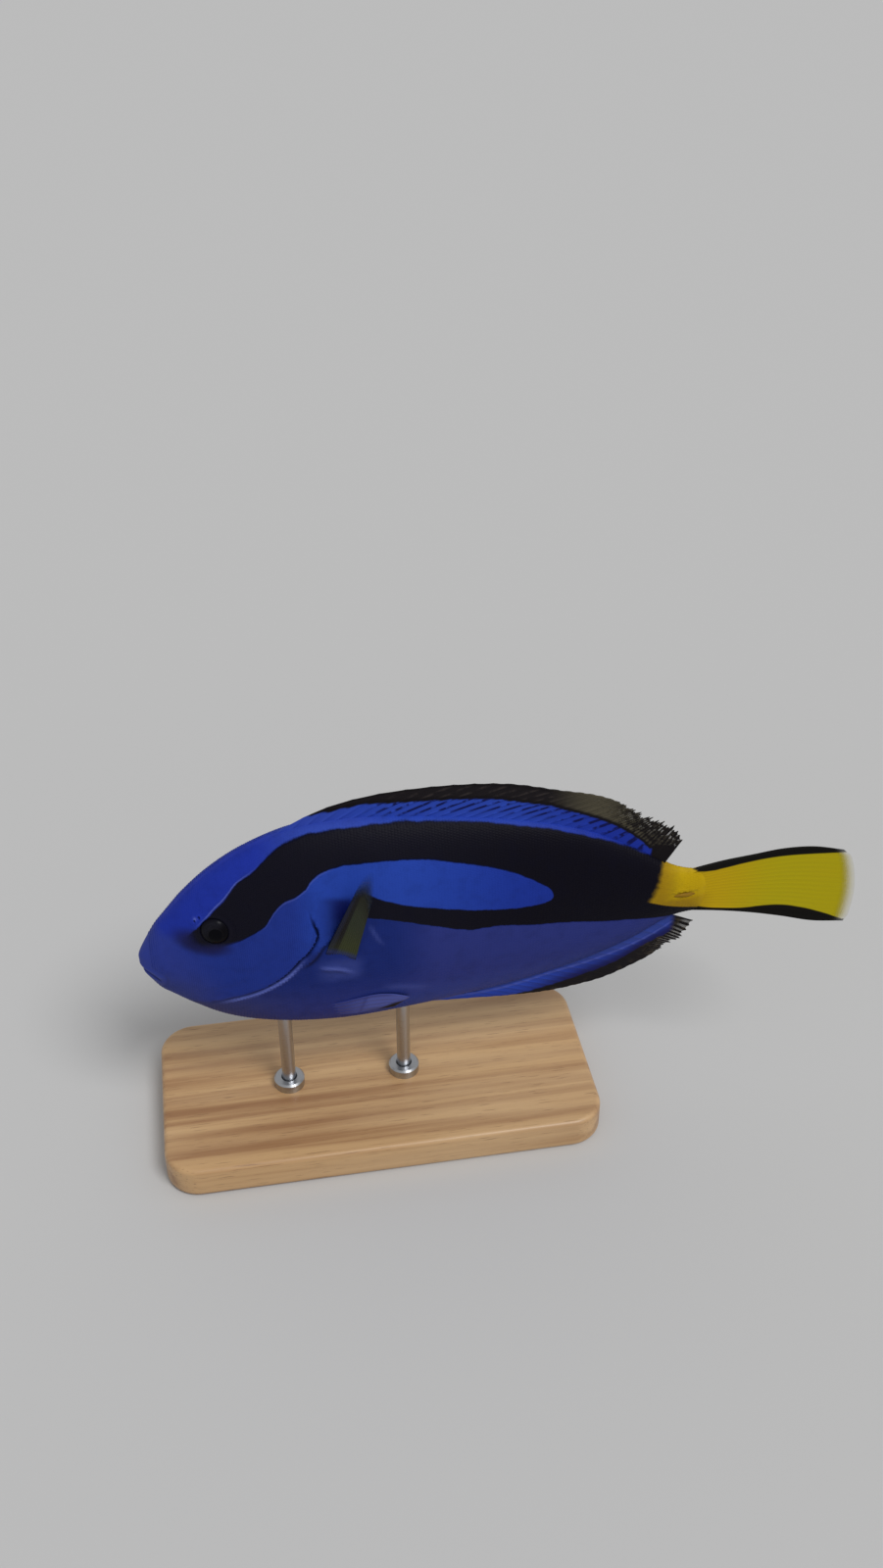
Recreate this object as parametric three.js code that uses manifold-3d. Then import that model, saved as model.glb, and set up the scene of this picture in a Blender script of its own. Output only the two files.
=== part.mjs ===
// A regal blue tang, life size, swimming on a plain display stand. Millimetres, +Z up.
// The head looks along -X and the left flank faces -Y. The origin is the middle of the stand's underside.
import * as THREE from "three";
import { mergeVertices } from "three/addons/utils/BufferGeometryUtils.js";
import Module from "manifold-3d";

const wasm = await Module();
wasm.setup();

// Driving dimensions
const STANDARD_LENGTH = 160; // snout to the root of the tail fin
const SNOUT_X = -64; // puts the fish's weight over the middle of the stand
const AXIS_HEIGHT = 72; // of the body's own axis above the floor
const GAP = 0.3; // left between neighbouring pieces
const BEND_FROM = 0.56 * STANDARD_LENGTH; // the body is straight up to here
const BEND_RADIUS = 475; // and then sweeps to the left on this arc

// The body's form. Every number is a share of the standard length: place behind the snout, back and belly
// above and below the axis, half width, and height of the widest point. A ridge above 1 sharpens the keels.
const BODY_FORM = [
  { at: 0.0, back: -0.009, belly: -0.085, half: 0.024, wide: -0.034, ridge: 1.0 },
  { at: 0.04, back: 0.041, belly: -0.1145, half: 0.038, wide: -0.029, ridge: 0.95 },
  { at: 0.08, back: 0.0895, belly: -0.146, half: 0.051, wide: -0.024, ridge: 0.92 },
  { at: 0.13, back: 0.135, belly: -0.179, half: 0.062, wide: -0.019, ridge: 0.92 },
  { at: 0.19, back: 0.173, belly: -0.2025, half: 0.071, wide: -0.015, ridge: 0.95 },
  { at: 0.27, back: 0.2045, belly: -0.219, half: 0.077, wide: -0.012, ridge: 1.0 },
  { at: 0.36, back: 0.215, belly: -0.2255, half: 0.078, wide: -0.008, ridge: 1.06 },
  { at: 0.46, back: 0.208, belly: -0.2195, half: 0.073, wide: -0.005, ridge: 1.12 },
  { at: 0.57, back: 0.1925, belly: -0.207, half: 0.064, wide: -0.004, ridge: 1.16 },
  { at: 0.68, back: 0.1715, belly: -0.186, half: 0.053, wide: -0.003, ridge: 1.17 },
  { at: 0.78, back: 0.1425, belly: -0.1535, half: 0.041, wide: -0.002, ridge: 1.14 },
  { at: 0.87, back: 0.0965, belly: -0.107, half: 0.0295, wide: -0.001, ridge: 1.06 },
  { at: 0.94, back: 0.0535, belly: -0.0575, half: 0.0205, wide: 0.0, ridge: 1.0 },
  { at: 1.0, back: 0.0455, belly: -0.0435, half: 0.0075, wide: 0.0, ridge: 1.0 },
];
// The two ends are rounded off over these shares of the body.
const SNOUT_ROUNDING = 0.038;
const TAIL_ROUNDING = 0.02;
const SNOUT_REACH = 0.7; // mm by which the snout's tip is drawn out
const SNOUT_FADE = 0.1; // share of the body over which that fades
const BODY_RINGS = 40;
const BODY_SIDES = 28;
const RING_SPREAD = 0.75; // 0 leaves the rings gathered at the ends, as a sphere has them

// A smooth value between stations: each span is a cubic that leaves and arrives at its neighbours' slopes.
function smoothAt(stations, key, at) {
  const last = stations.length - 1;
  const place = THREE.MathUtils.clamp(at, stations[0].at, stations[last].at);
  let i = 0;
  while (i < last - 1 && stations[i + 1].at < place) i += 1;
  const slope = (k) => {
    const before = stations[Math.max(k - 1, 0)];
    const after = stations[Math.min(k + 1, last)];
    return (after[key] - before[key]) / (after.at - before.at);
  };
  const [a, b] = [stations[i], stations[i + 1]];
  const span = b.at - a.at;
  const t = (place - a.at) / span;
  const [t2, t3] = [t * t, t * t * t];
  return (
    a[key] * (2 * t3 - 3 * t2 + 1) +
    slope(i) * span * (t3 - 2 * t2 + t) +
    b[key] * (3 * t2 - 2 * t3) +
    slope(i + 1) * span * (t3 - t2)
  );
}

// The two ends are rounded off like a quarter of an ellipse.
function endRounding(at) {
  const nose = Math.max(0, 1 - at / SNOUT_ROUNDING);
  const tail = Math.max(0, 1 - (1 - at) / TAIL_ROUNDING);
  return Math.sqrt(Math.max(0, 1 - nose * nose)) * Math.sqrt(Math.max(0, 1 - tail * tail));
}

// The section's sizes in millimetres at one place along the body.
function sectionAt(at, grow = 0) {
  const round = endRounding(at);
  const wide = smoothAt(BODY_FORM, "wide", at) * STANDARD_LENGTH;
  return {
    wide,
    up: (smoothAt(BODY_FORM, "back", at) * STANDARD_LENGTH - wide) * round + grow,
    down: (wide - smoothAt(BODY_FORM, "belly", at) * STANDARD_LENGTH) * round + grow,
    half: smoothAt(BODY_FORM, "half", at) * STANDARD_LENGTH * round + grow,
    ridge: smoothAt(BODY_FORM, "ridge", at),
  };
}

const backAt = (at) => sectionAt(at).wide + sectionAt(at).up;
const bellyAt = (at) => sectionAt(at).wide - sectionAt(at).down;

// How far the flank stands out from the middle plane at a height.
function flankAt(at, z) {
  const s = sectionAt(at);
  const share = (z - s.wide) / (z > s.wide ? s.up : s.down);
  return s.half * Math.max(0, 1 - share * share) ** (s.ridge / 2);
}

// From the fish's own straight frame, as millimetres behind the snout, to the right and above the axis.
function posed(alongside, right, above) {
  const atSnout = Math.max(0, 1 - alongside / (SNOUT_FADE * STANDARD_LENGTH));
  const behind = alongside - SNOUT_REACH * atSnout ** 2;
  const turn = Math.max(0, behind - BEND_FROM) / BEND_RADIUS;
  const straight = Math.min(behind, BEND_FROM);
  return new THREE.Vector3(
    SNOUT_X + straight + (BEND_RADIUS + right) * Math.sin(turn),
    right * Math.cos(turn) - BEND_RADIUS * (1 - Math.cos(turn)),
    AXIS_HEIGHT + above,
  );
}

// Moves every vertex of a geometry through a function that returns its new place.
function reshape(geometry, move) {
  const p = geometry.attributes.position;
  const v = new THREE.Vector3();
  for (let i = 0; i < p.count; i += 1) {
    v.fromBufferAttribute(p, i);
    const to = move(v);
    p.setXYZ(i, to.x, to.y, to.z);
  }
  return geometry;
}

// The whole body without fins: a sphere whose poles are the snout and the tail root. Its rings are spread
// along the body and only gather a little at the two ends.
function bodyGeometry(grow = 0) {
  return reshape(new THREE.SphereGeometry(1, BODY_SIDES, BODY_RINGS), (v) => {
    const t = Math.acos(THREE.MathUtils.clamp(v.y, -1, 1)) / Math.PI;
    const at = t - (RING_SPREAD * Math.sin(2 * Math.PI * t)) / (2 * Math.PI);
    const behind = at * (STANDARD_LENGTH + 2 * grow) - grow;
    const s = sectionAt(at, grow);
    const reach = Math.hypot(v.x, v.z);
    if (reach < 1e-6) return posed(behind, 0, s.wide);
    const [across, rise] = [v.x / reach, v.z / reach];
    const y = Math.sign(across) * s.half * Math.abs(across) ** s.ridge;
    return posed(behind, y, s.wide + rise * (rise > 0 ? s.up : s.down));
  });
}

// A closed geometry as a solid that can be cut and joined, turned right side out where a mapping mirrored it.
const WELD = 1e-3; // vertices closer than this are one
function solid(geometry) {
  const bare = new THREE.BufferGeometry();
  bare.setAttribute("position", geometry.attributes.position.clone());
  if (geometry.index) bare.setIndex(geometry.index.clone());
  const merged = mergeVertices(bare, WELD);
  const corners = new Uint32Array(merged.index.array);
  const build = (triVerts) =>
    new wasm.Manifold(
      new wasm.Mesh({ numProp: 3, vertProperties: merged.attributes.position.array, triVerts }),
    );
  const made = build(corners);
  return made.volume() > 0 ? made : build(corners.reverse());
}

function geometryOf(manifold) {
  const mesh = manifold.getMesh();
  const geometry = new THREE.BufferGeometry();
  geometry.setAttribute("position", new THREE.BufferAttribute(mesh.vertProperties, 3));
  geometry.setIndex(new THREE.BufferAttribute(mesh.triVerts, 1));
  geometry.computeVertexNormals();
  return geometry;
}

const middleX = (manifold) => {
  const box = manifold.boundingBox();
  return (box.min[0] + box.max[0]) / 2;
};
const frontToBack = (manifold) => manifold.decompose().sort((a, b) => middleX(a) - middleX(b));
const largest = (manifold) => manifold.decompose().sort((a, b) => b.volume() - a.volume())[0];

const fishSolid = solid(bodyGeometry());
const clearOfFish = solid(bodyGeometry(GAP));

// Materials
const finish = (color, roughness, metalness = 0) =>
  new THREE.MeshStandardMaterial({ color, roughness, metalness });
const royalBlue = finish(0x1c3a9c, 0.45);
const finBlue = finish(0x182f86, 0.5);
const tailYellow = finish(0xd9b310, 0.5);
const finYellow = finish(0xb3a32a, 0.5);
const eyeDark = finish(0x14110f, 0.1);
const spineBone = finish(0xe6d9a8, 0.35);
const paleWood = finish(0xcdb48a, 0.55);
const brushedSteel = finish(0xb4b6b8, 0.3, 1);

const tang = new THREE.Group();
function addPiece(name, manifold, material) {
  const mesh = new THREE.Mesh(geometryOf(manifold), material);
  mesh.name = name;
  tang.add(mesh);
}

// Parting the body. Lines are drawn on the side view in shares of the standard length.
const WIDER_THAN_BODY = 60;
const SIDES = { left: -1, right: 1 };

// A thin upright cut along a line, right through the body.
function sawCut(line, segments) {
  const points = new THREE.SplineCurve(line.map(([at, up]) => new THREE.Vector2(at, up)))
    .getSpacedPoints(segments)
    .map((p) => p.multiplyScalar(STANDARD_LENGTH));
  const shifted = (side) =>
    points.map((p, i) => {
      const before = points[Math.max(i - 1, 0)];
      const after = points[Math.min(i + 1, points.length - 1)];
      const way = after.clone().sub(before).normalize();
      return new THREE.Vector2(p.x - (way.y * side * GAP) / 2, p.y + (way.x * side * GAP) / 2);
    });
  const band = new THREE.Shape([...shifted(1), ...shifted(-1).reverse()]);
  const slab = new THREE.ExtrudeGeometry(band, { depth: WIDER_THAN_BODY, bevelEnabled: false });
  return solid(reshape(slab, (v) => posed(v.x, v.z - WIDER_THAN_BODY / 2, v.y)));
}

// The three cuts. The gill slit runs from the nape, down behind the gill cover and forward under the throat.
const GILL_SLIT = [
  [0.27, 0.26],
  [0.277, 0.15],
  [0.287, 0.08],
  [0.2975, 0.03],
  [0.283, -0.002],
  [0.262, -0.024],
  [0.23, -0.058],
  [0.188, -0.087],
  [0.144, -0.106],
  [0.1, -0.135],
  [0.075, -0.21],
];
const MOUTH = [
  [-0.02, -0.053],
  [0.01, -0.058],
  [0.024, -0.066],
  [0.036, -0.08],
  [0.045, -0.15],
];
const TAIL_ROOT = [
  [0.94, 0.2],
  [0.912, 0.06],
  [0.896, 0.02],
  [0.889, -0.015],
  [0.9, -0.06],
  [0.93, -0.2],
];

// The gill cover: a plate let into each side of the head. This line is its front; its rear is the slit.
const COVER_FRONT = [
  [0.31, 0.095],
  [0.264, 0.08],
  [0.236, 0.045],
  [0.215, -0.002],
  [0.182, -0.045],
  [0.141, -0.078],
  [0.097, -0.105],
];
const COVER_REAR = [
  [0.097, -0.25],
  [0.4, -0.25],
  [0.4, 0.095],
];
const COVER_DEPTH = 5; // its inner face, from the middle plane
const COVER_FIT = 0.8; // share of the gap by which the plate's seat is wider than the plate
function coverPlug(side, grow) {
  const front = new THREE.SplineCurve(COVER_FRONT.map(([at, up]) => new THREE.Vector2(at, up)));
  const rear = COVER_REAR.map(([at, up]) => new THREE.Vector2(at, up));
  const outline = [...front.getSpacedPoints(10), ...rear].map((p) => p.multiplyScalar(STANDARD_LENGTH));
  const widened = outline.map((p) => new THREE.Vector2(p.x - grow * COVER_FIT, p.y + grow * COVER_FIT));
  const inner = COVER_DEPTH - grow;
  const plug = new THREE.ExtrudeGeometry(new THREE.Shape(widened), {
    depth: WIDER_THAN_BODY / 2 - inner,
    bevelEnabled: false,
  });
  return solid(reshape(plug, (v) => posed(v.x, side * (inner + v.z), v.y)));
}

// The eyes: flattened balls let into the head, turned to lie in its surface.
const EYE = { at: 0.13, up: 0.0475, radius: 4, depth: 2.3, sunk: 1 };
function eyeBall(side, grow) {
  const step = 0.01;
  const up = EYE.up * STANDARD_LENGTH;
  const surface = flankAt(EYE.at, up);
  const alongSlope = (flankAt(EYE.at + step, up) - flankAt(EYE.at - step, up)) / (2 * step * STANDARD_LENGTH);
  const upSlope = (flankAt(EYE.at, up + 1) - flankAt(EYE.at, up - 1)) / 2;
  const outward = new THREE.Vector3(-alongSlope, side, -upSlope).normalize();
  const ball = new THREE.SphereGeometry(1, 16, 8);
  ball.scale(EYE.radius + grow, EYE.depth + grow, EYE.radius + grow);
  ball.applyQuaternion(new THREE.Quaternion().setFromUnitVectors(new THREE.Vector3(0, 1, 0), outward));
  const centre = new THREE.Vector3(EYE.at * STANDARD_LENGTH, side * surface, up);
  centre.addScaledVector(outward, -EYE.sunk);
  return solid(reshape(ball, (v) => posed(centre.x + v.x, centre.y + v.y, centre.z + v.z)));
}

// The blade that each side of the tail root carries, folded forward into its groove.
const BLADE = { from: 0.928, to: 0.978, up: 0, height: 1.6, thick: 1.6, proud: 0.5 };
function tailBlade(side, grow) {
  return solid(
    reshape(new THREE.SphereGeometry(1, 8, 6), (v) => {
      const along = (v.y + 1) / 2;
      const at = THREE.MathUtils.lerp(BLADE.from, BLADE.to, along);
      const heft = Math.min(1, 0.3 + along);
      const middle = flankAt(at, BLADE.up) + BLADE.proud - BLADE.thick / 2;
      return posed(
        at * STANDARD_LENGTH + v.y * grow,
        side * middle + v.x * ((BLADE.thick / 2) * heft + grow),
        BLADE.up + v.z * ((BLADE.height / 2) * heft + grow),
      );
    }),
  );
}

const [jawAndHead, ...behindHead] = frontToBack(fishSolid.subtract(sawCut(GILL_SLIT, 15)));
const [lowerJaw, wholeHead] = frontToBack(jawAndHead.subtract(sawCut(MOUTH, 6)));
const [trunk, wholeTail] = frontToBack(behindHead[0].subtract(sawCut(TAIL_ROOT, 4)));

let bareHead = wholeHead;
let bareTail = wholeTail;
for (const [name, side] of Object.entries(SIDES)) {
  addPiece(`gill_cover_${name}`, largest(wholeHead.intersect(coverPlug(side, 0))), royalBlue);
  addPiece(`eye_${name}`, eyeBall(side, 0), eyeDark);
  addPiece(`tail_blade_${name}`, tailBlade(side, 0), spineBone);
  bareHead = bareHead.subtract(coverPlug(side, GAP)).subtract(eyeBall(side, GAP));
  bareTail = bareTail.subtract(tailBlade(side, GAP));
}
addPiece("head", largest(bareHead), royalBlue);
addPiece("lower_jaw", lowerJaw, royalBlue);
addPiece("trunk", trunk, royalBlue);
addPiece("tail_root", largest(bareTail), tailYellow);

// Fins. Each is a thin blade laid out by its rays: lay(over, out) gives the place at a share of the way over
// the fin, from its first ray to its last, and out, from root to tip.
function finBlade({ rays, steps, lay, thick, side = () => new THREE.Vector3(0, 1, 0) }) {
  const PER_RAY = 2;
  return solid(
    reshape(new THREE.BoxGeometry(1, 1, 1, rays * PER_RAY, 1, steps), (v) => {
      const [over, out] = [v.x + 0.5, v.z + 0.5];
      const p = lay(over, out);
      p.addScaledVector(side(over, out), v.y * THREE.MathUtils.lerp(thick.root, thick.tip, out));
      return posed(p.x, p.y, p.z);
    }),
  );
}
// Draws the margin in a little between the tips of the rays.
const notch = (over, rays, depth) => 1 - depth * Math.abs(Math.sin(Math.PI * over * rays));
const placed = (behind, right, above) =>
  new THREE.Vector3(behind * STANDARD_LENGTH, right, above * STANDARD_LENGTH);
const finPiece = (name, blade, material) => addPiece(name, largest(blade.subtract(clearOfFish)), material);

// The fins of the back and belly are half lowered. Each row is the tip of the ray at that share of the fin.
const BACK_FIN = {
  rays: 28,
  from: 0.24,
  to: 0.915,
  tips: [
    { at: 0, behind: 0.252, above: 0.2005 },
    { at: 0.05, behind: 0.3, above: 0.226 },
    { at: 0.1, behind: 0.345, above: 0.242 },
    { at: 0.2, behind: 0.446, above: 0.2575 },
    { at: 0.33, behind: 0.538, above: 0.2588 },
    { at: 0.47, behind: 0.64, above: 0.25 },
    { at: 0.6, behind: 0.728, above: 0.2285 },
    { at: 0.73, behind: 0.81, above: 0.2065 },
    { at: 0.85, behind: 0.877, above: 0.1695 },
    { at: 0.94, behind: 0.925, above: 0.1465 },
    { at: 1, behind: 0.9475, above: 0.113 },
  ],
};
const BELLY_FIN = {
  rays: 21,
  from: 0.475,
  to: 0.93,
  tips: [
    { at: 0, behind: 0.497, above: -0.2205 },
    { at: 0.15, behind: 0.57, above: -0.2252 },
    { at: 0.3, behind: 0.645, above: -0.2288 },
    { at: 0.45, behind: 0.725, above: -0.2253 },
    { at: 0.6, behind: 0.8, above: -0.2105 },
    { at: 0.75, behind: 0.868, above: -0.179 },
    { at: 0.88, behind: 0.937, above: -0.1315 },
    { at: 0.95, behind: 0.97, above: -0.105 },
    { at: 1, behind: 0.9865, above: -0.073 },
  ],
};
function keelFin({ rays, from, to, tips }, edgeAt, towardsBody) {
  const BURIED = 1.2;
  const lay = (over, out) => {
    const at = THREE.MathUtils.lerp(from, to, over);
    const root = new THREE.Vector3(at * STANDARD_LENGTH, 0, edgeAt(at) + towardsBody * BURIED);
    const tip = placed(smoothAt(tips, "behind", over), 0, smoothAt(tips, "above", over));
    return root.lerp(tip, out * notch(over, rays, 0.05));
  };
  return finBlade({ rays, steps: 2, lay, thick: { root: 1.1, tip: 0.6 } });
}
finPiece("fin_dorsal", keelFin(BACK_FIN, backAt, -1), finBlue);
finPiece("fin_anal", keelFin(BELLY_FIN, bellyAt, 1), finBlue);

// The tail fin is nearly closed. Its upper and lower edges are given from root to tip, and how far its hind
// margin reaches from top to bottom.
const TAIL_FIN = {
  rays: 16,
  root: 0.97,
  edges: [
    { at: 0, top: 0.0425, bottom: -0.0425 },
    { at: 0.2, top: 0.0605, bottom: -0.0462 },
    { at: 0.4, top: 0.075, bottom: -0.052 },
    { at: 0.6, top: 0.0895, bottom: -0.0605 },
    { at: 0.8, top: 0.0955, bottom: -0.0702 },
    { at: 1, top: 0.0905, bottom: -0.069 },
  ],
  reach: [
    { at: 0, to: 1.228 },
    { at: 0.1, to: 1.244 },
    { at: 0.5, to: 1.258 },
    { at: 0.9, to: 1.256 },
    { at: 1, to: 1.249 },
  ],
};
const layTailFin = (over, out) => {
  const reach = (smoothAt(TAIL_FIN.reach, "to", over) - TAIL_FIN.root) * notch(over, TAIL_FIN.rays, 0.02);
  const top = smoothAt(TAIL_FIN.edges, "top", out);
  const bottom = smoothAt(TAIL_FIN.edges, "bottom", out);
  return placed(TAIL_FIN.root + reach * out, 0, THREE.MathUtils.lerp(top, bottom, over));
};
finPiece(
  "fin_caudal",
  finBlade({ rays: TAIL_FIN.rays, steps: 4, lay: layTailFin, thick: { root: 1.8, tip: 0.6 } }),
  tailYellow,
);

// The pectoral fins fan out from a short root behind the gill slit, between a leading and a trailing ray.
const PECTORAL = {
  rays: 13,
  buried: 1, // mm of the root inside the flank
  rootTop: [0.312, -0.008],
  rootEnd: [0.362, -0.03],
  lengths: [
    { at: 0, long: 32.5 },
    { at: 0.15, long: 35 },
    { at: 0.4, long: 36.5 },
    { at: 0.65, long: 35 },
    { at: 0.85, long: 31.5 },
    { at: 1, long: 27 },
  ],
};
function pectoral(side, lead, trail) {
  const onFlank = ([at, up]) => placed(at, side * (flankAt(at, up * STANDARD_LENGTH) - PECTORAL.buried), up);
  const [top, end] = [onFlank(PECTORAL.rootTop), onFlank(PECTORAL.rootEnd)];
  const flat = end.clone().sub(top).cross(lead).normalize();
  const lay = (over, out) => {
    const way = lead.clone().lerp(trail, over).normalize();
    const long = smoothAt(PECTORAL.lengths, "long", over) * notch(over, PECTORAL.rays, 0.03);
    return top.clone().lerp(end, over).addScaledVector(way, long * out);
  };
  return finBlade({ rays: PECTORAL.rays, steps: 2, lay, side: () => flat, thick: { root: 1.4, tip: 0.6 } });
}
// The left one is raised beside the flank; the right one is swept back.
const raised = { lead: new THREE.Vector3(0.31, -0.24, 0.94), trail: new THREE.Vector3(0.17, -0.24, 0.94) };
const swept = { lead: new THREE.Vector3(0.86, 0.4, 0.2), trail: new THREE.Vector3(0.8, 0.45, -0.45) };
finPiece("fin_pectoral_left", pectoral(SIDES.left, raised.lead, raised.trail), finYellow);
finPiece("fin_pectoral_right", pectoral(SIDES.right, swept.lead, swept.trail), finYellow);

// The pelvic fins lie folded back along the lower flanks, a little clear of the skin.
const PELVIC = {
  rays: 4,
  bow: 0.02, // how far the fore edge bulges upwards
  bowLean: 1.4, // above 1 the bulge lies nearer the tip
  clear: { root: -0.6, tip: 1.1 }, // mm between the fin and the flank
  fore: { root: [0.312, -0.144], tip: [0.457, -0.152] },
  hind: { root: [0.325, -0.189], tip: [0.43, -0.178] },
};
function pelvic(side) {
  const along = ([at, up], [toAt, toUp], out) => [
    THREE.MathUtils.lerp(at, toAt, out),
    THREE.MathUtils.lerp(up, toUp, out),
  ];
  const lay = (over, out) => {
    const first = along(PELVIC.fore.root, PELVIC.fore.tip, out);
    const last = along(PELVIC.hind.root, PELVIC.hind.tip, out);
    const [at, straightUp] = along(first, last, over);
    const up = straightUp + PELVIC.bow * Math.sin(Math.PI * out ** PELVIC.bowLean) * (1 - over);
    const clear = THREE.MathUtils.lerp(PELVIC.clear.root, PELVIC.clear.tip, Math.sqrt(out));
    return placed(at, side * (flankAt(at, up * STANDARD_LENGTH) + clear), up);
  };
  return finBlade({ rays: PELVIC.rays, steps: 4, lay, thick: { root: 1.0, tip: 0.6 } });
}
finPiece("fin_pelvic_left", pelvic(SIDES.left), finBlue);
finPiece("fin_pelvic_right", pelvic(SIDES.right), finBlue);

// The display stand: a flat wooden base and two steel rods in collars.
const STAND = { length: 128, width: 60, thick: 10, corner: 10, edge: 1.5 };
const ROD = { radius: 2, collarRadius: 4.5, collarHeight: 3, sides: 20 };
const ROD_PLACES = { front: 0.236, rear: 0.452 };

const plan = new THREE.Shape();
const [halfLong, halfWide] = [STAND.length / 2 - STAND.edge, STAND.width / 2 - STAND.edge];
const [endX, endY] = [halfLong - STAND.corner, halfWide - STAND.corner];
plan.moveTo(-endX, -halfWide);
plan.absarc(endX, -endY, STAND.corner, -Math.PI / 2, 0);
plan.absarc(endX, endY, STAND.corner, 0, Math.PI / 2);
plan.absarc(-endX, endY, STAND.corner, Math.PI / 2, Math.PI);
plan.absarc(-endX, -endY, STAND.corner, Math.PI, Math.PI * 1.5);
const slab = new THREE.ExtrudeGeometry(plan, {
  depth: STAND.thick - 2 * STAND.edge,
  curveSegments: 5,
  bevelThickness: STAND.edge,
  bevelSize: STAND.edge,
  bevelSegments: 2,
});
slab.translate(0, 0, STAND.edge);
addPiece("stand_base", solid(slab), paleWood);

function upright(radius, height, x, bottom) {
  const cylinder = new THREE.CylinderGeometry(radius, radius, height, ROD.sides);
  cylinder.rotateX(Math.PI / 2);
  cylinder.translate(x, 0, bottom + height / 2);
  return solid(cylinder);
}
for (const [name, at] of Object.entries(ROD_PLACES)) {
  const x = SNOUT_X + at * STANDARD_LENGTH;
  const intoBody = AXIS_HEIGHT + bellyAt(at) + 4 - STAND.thick;
  const rod = upright(ROD.radius, intoBody, x, STAND.thick);
  const collar = upright(ROD.collarRadius, ROD.collarHeight, x, STAND.thick);
  const hole = upright(ROD.radius + GAP, ROD.collarHeight * 3, x, STAND.thick - ROD.collarHeight);
  addPiece(`stand_rod_${name}`, largest(rod.subtract(clearOfFish)), brushedSteel);
  addPiece(`stand_collar_${name}`, collar.subtract(hole), brushedSteel);
}

export default tang;
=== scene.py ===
# %% [markdown]
# # A regal blue tang on a display stand
#
# This notebook dresses a life-size model of a regal blue tang. The solids already hold every size and
# place, and they come in first as a fixed frame. Each step then adds one visible piece: the skin with its
# relief and markings, the fins with their rays, the eyes, the tail's blades, and the stand.
#
# Blender works in metres. The head looks along -X, the left flank faces -Y, and +Z is up.

# %% Load the solids, with their places laid into their meshes
import math

import bmesh
import bpy
import numpy as np
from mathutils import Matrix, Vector


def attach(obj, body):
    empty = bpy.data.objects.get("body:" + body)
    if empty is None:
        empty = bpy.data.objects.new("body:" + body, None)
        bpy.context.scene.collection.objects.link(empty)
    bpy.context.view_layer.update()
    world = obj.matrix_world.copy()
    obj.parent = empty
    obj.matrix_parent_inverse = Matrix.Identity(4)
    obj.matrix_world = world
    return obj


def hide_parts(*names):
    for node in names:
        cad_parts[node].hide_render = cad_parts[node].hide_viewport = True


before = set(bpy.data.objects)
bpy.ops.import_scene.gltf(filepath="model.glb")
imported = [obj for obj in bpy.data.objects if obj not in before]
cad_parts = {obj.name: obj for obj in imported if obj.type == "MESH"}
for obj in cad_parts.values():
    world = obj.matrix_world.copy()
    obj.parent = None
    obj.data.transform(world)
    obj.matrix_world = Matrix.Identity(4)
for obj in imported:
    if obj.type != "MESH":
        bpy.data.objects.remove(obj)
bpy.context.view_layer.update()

print("solids:", len(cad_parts))

# %% [markdown]
# ## The camera
#
# The fish is seen from its left side and from well above, as when somebody leans over it with a phone.
# The lens is the phone's usual wide one. The camera comes first, so that every later step can be looked at.

# %% Camera
MM = 0.001
CAMERA_PLACE = (-0.0361, -0.3237, 0.3471)
CAMERA_TILT = math.radians(54.651)  # up from looking straight down
CAMERA_TURN = math.radians(-9.807)  # towards the tail
LENS_MM = 35
LENS_SEES = (0.01, 50)  # nearest and farthest
FILM_MM = 36  # the long side of the film

lens = bpy.data.cameras.new("camera")
lens.lens = LENS_MM
lens.sensor_width = FILM_MM
lens.clip_start, lens.clip_end = LENS_SEES
camera = bpy.data.objects.new("camera", lens)
camera.location = CAMERA_PLACE
camera.rotation_euler = (CAMERA_TILT, 0, CAMERA_TURN)
bpy.context.scene.collection.objects.link(camera)
bpy.context.scene.camera = camera
print("camera at", CAMERA_PLACE)

# %% [markdown]
# ## The body's form
#
# A fish is easiest to describe straight: how far behind the snout, how far above the body's own axis, and
# how far to the right. One short table gives the back, the belly, the half width, the height of the widest
# point and how sharp the keels are, each as a share of the standard length. Everything on the fish is
# placed in this straight frame first, and one function then bends the rear body to the left.

# %% The straight body
STANDARD_LENGTH = 160 * MM
SNOUT_X = -64 * MM
AXIS_HEIGHT = 72 * MM
BEND_FROM = 0.56 * STANDARD_LENGTH
BEND_RADIUS = 475 * MM
SNOUT_ROUNDING = 0.038
SNOUT_REACH = 0.7 * MM
SNOUT_FADE = 0.1 * STANDARD_LENGTH
TAIL_ROUNDING = 0.02
BACK, BELLY, HALF, WIDE, RIDGE = range(1, 6)
BODY_FORM = [
    # behind, back, belly, half width, widest at, ridge
    (0.00, -0.009, -0.085, 0.024, -0.034, 1.0),
    (0.04, 0.041, -0.1145, 0.038, -0.029, 0.95),
    (0.08, 0.0895, -0.146, 0.051, -0.024, 0.92),
    (0.13, 0.135, -0.179, 0.062, -0.019, 0.92),
    (0.19, 0.173, -0.2025, 0.071, -0.015, 0.95),
    (0.27, 0.2045, -0.219, 0.077, -0.012, 1.0),
    (0.36, 0.215, -0.2255, 0.078, -0.008, 1.06),
    (0.46, 0.208, -0.2195, 0.073, -0.005, 1.12),
    (0.57, 0.1925, -0.207, 0.064, -0.004, 1.16),
    (0.68, 0.1715, -0.186, 0.053, -0.003, 1.17),
    (0.78, 0.1425, -0.1535, 0.041, -0.002, 1.14),
    (0.87, 0.0965, -0.107, 0.0295, -0.001, 1.06),
    (0.94, 0.0535, -0.0575, 0.0205, 0.0, 1.0),
    (1.00, 0.0455, -0.0435, 0.0075, 0.0, 1.0),
]


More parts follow.
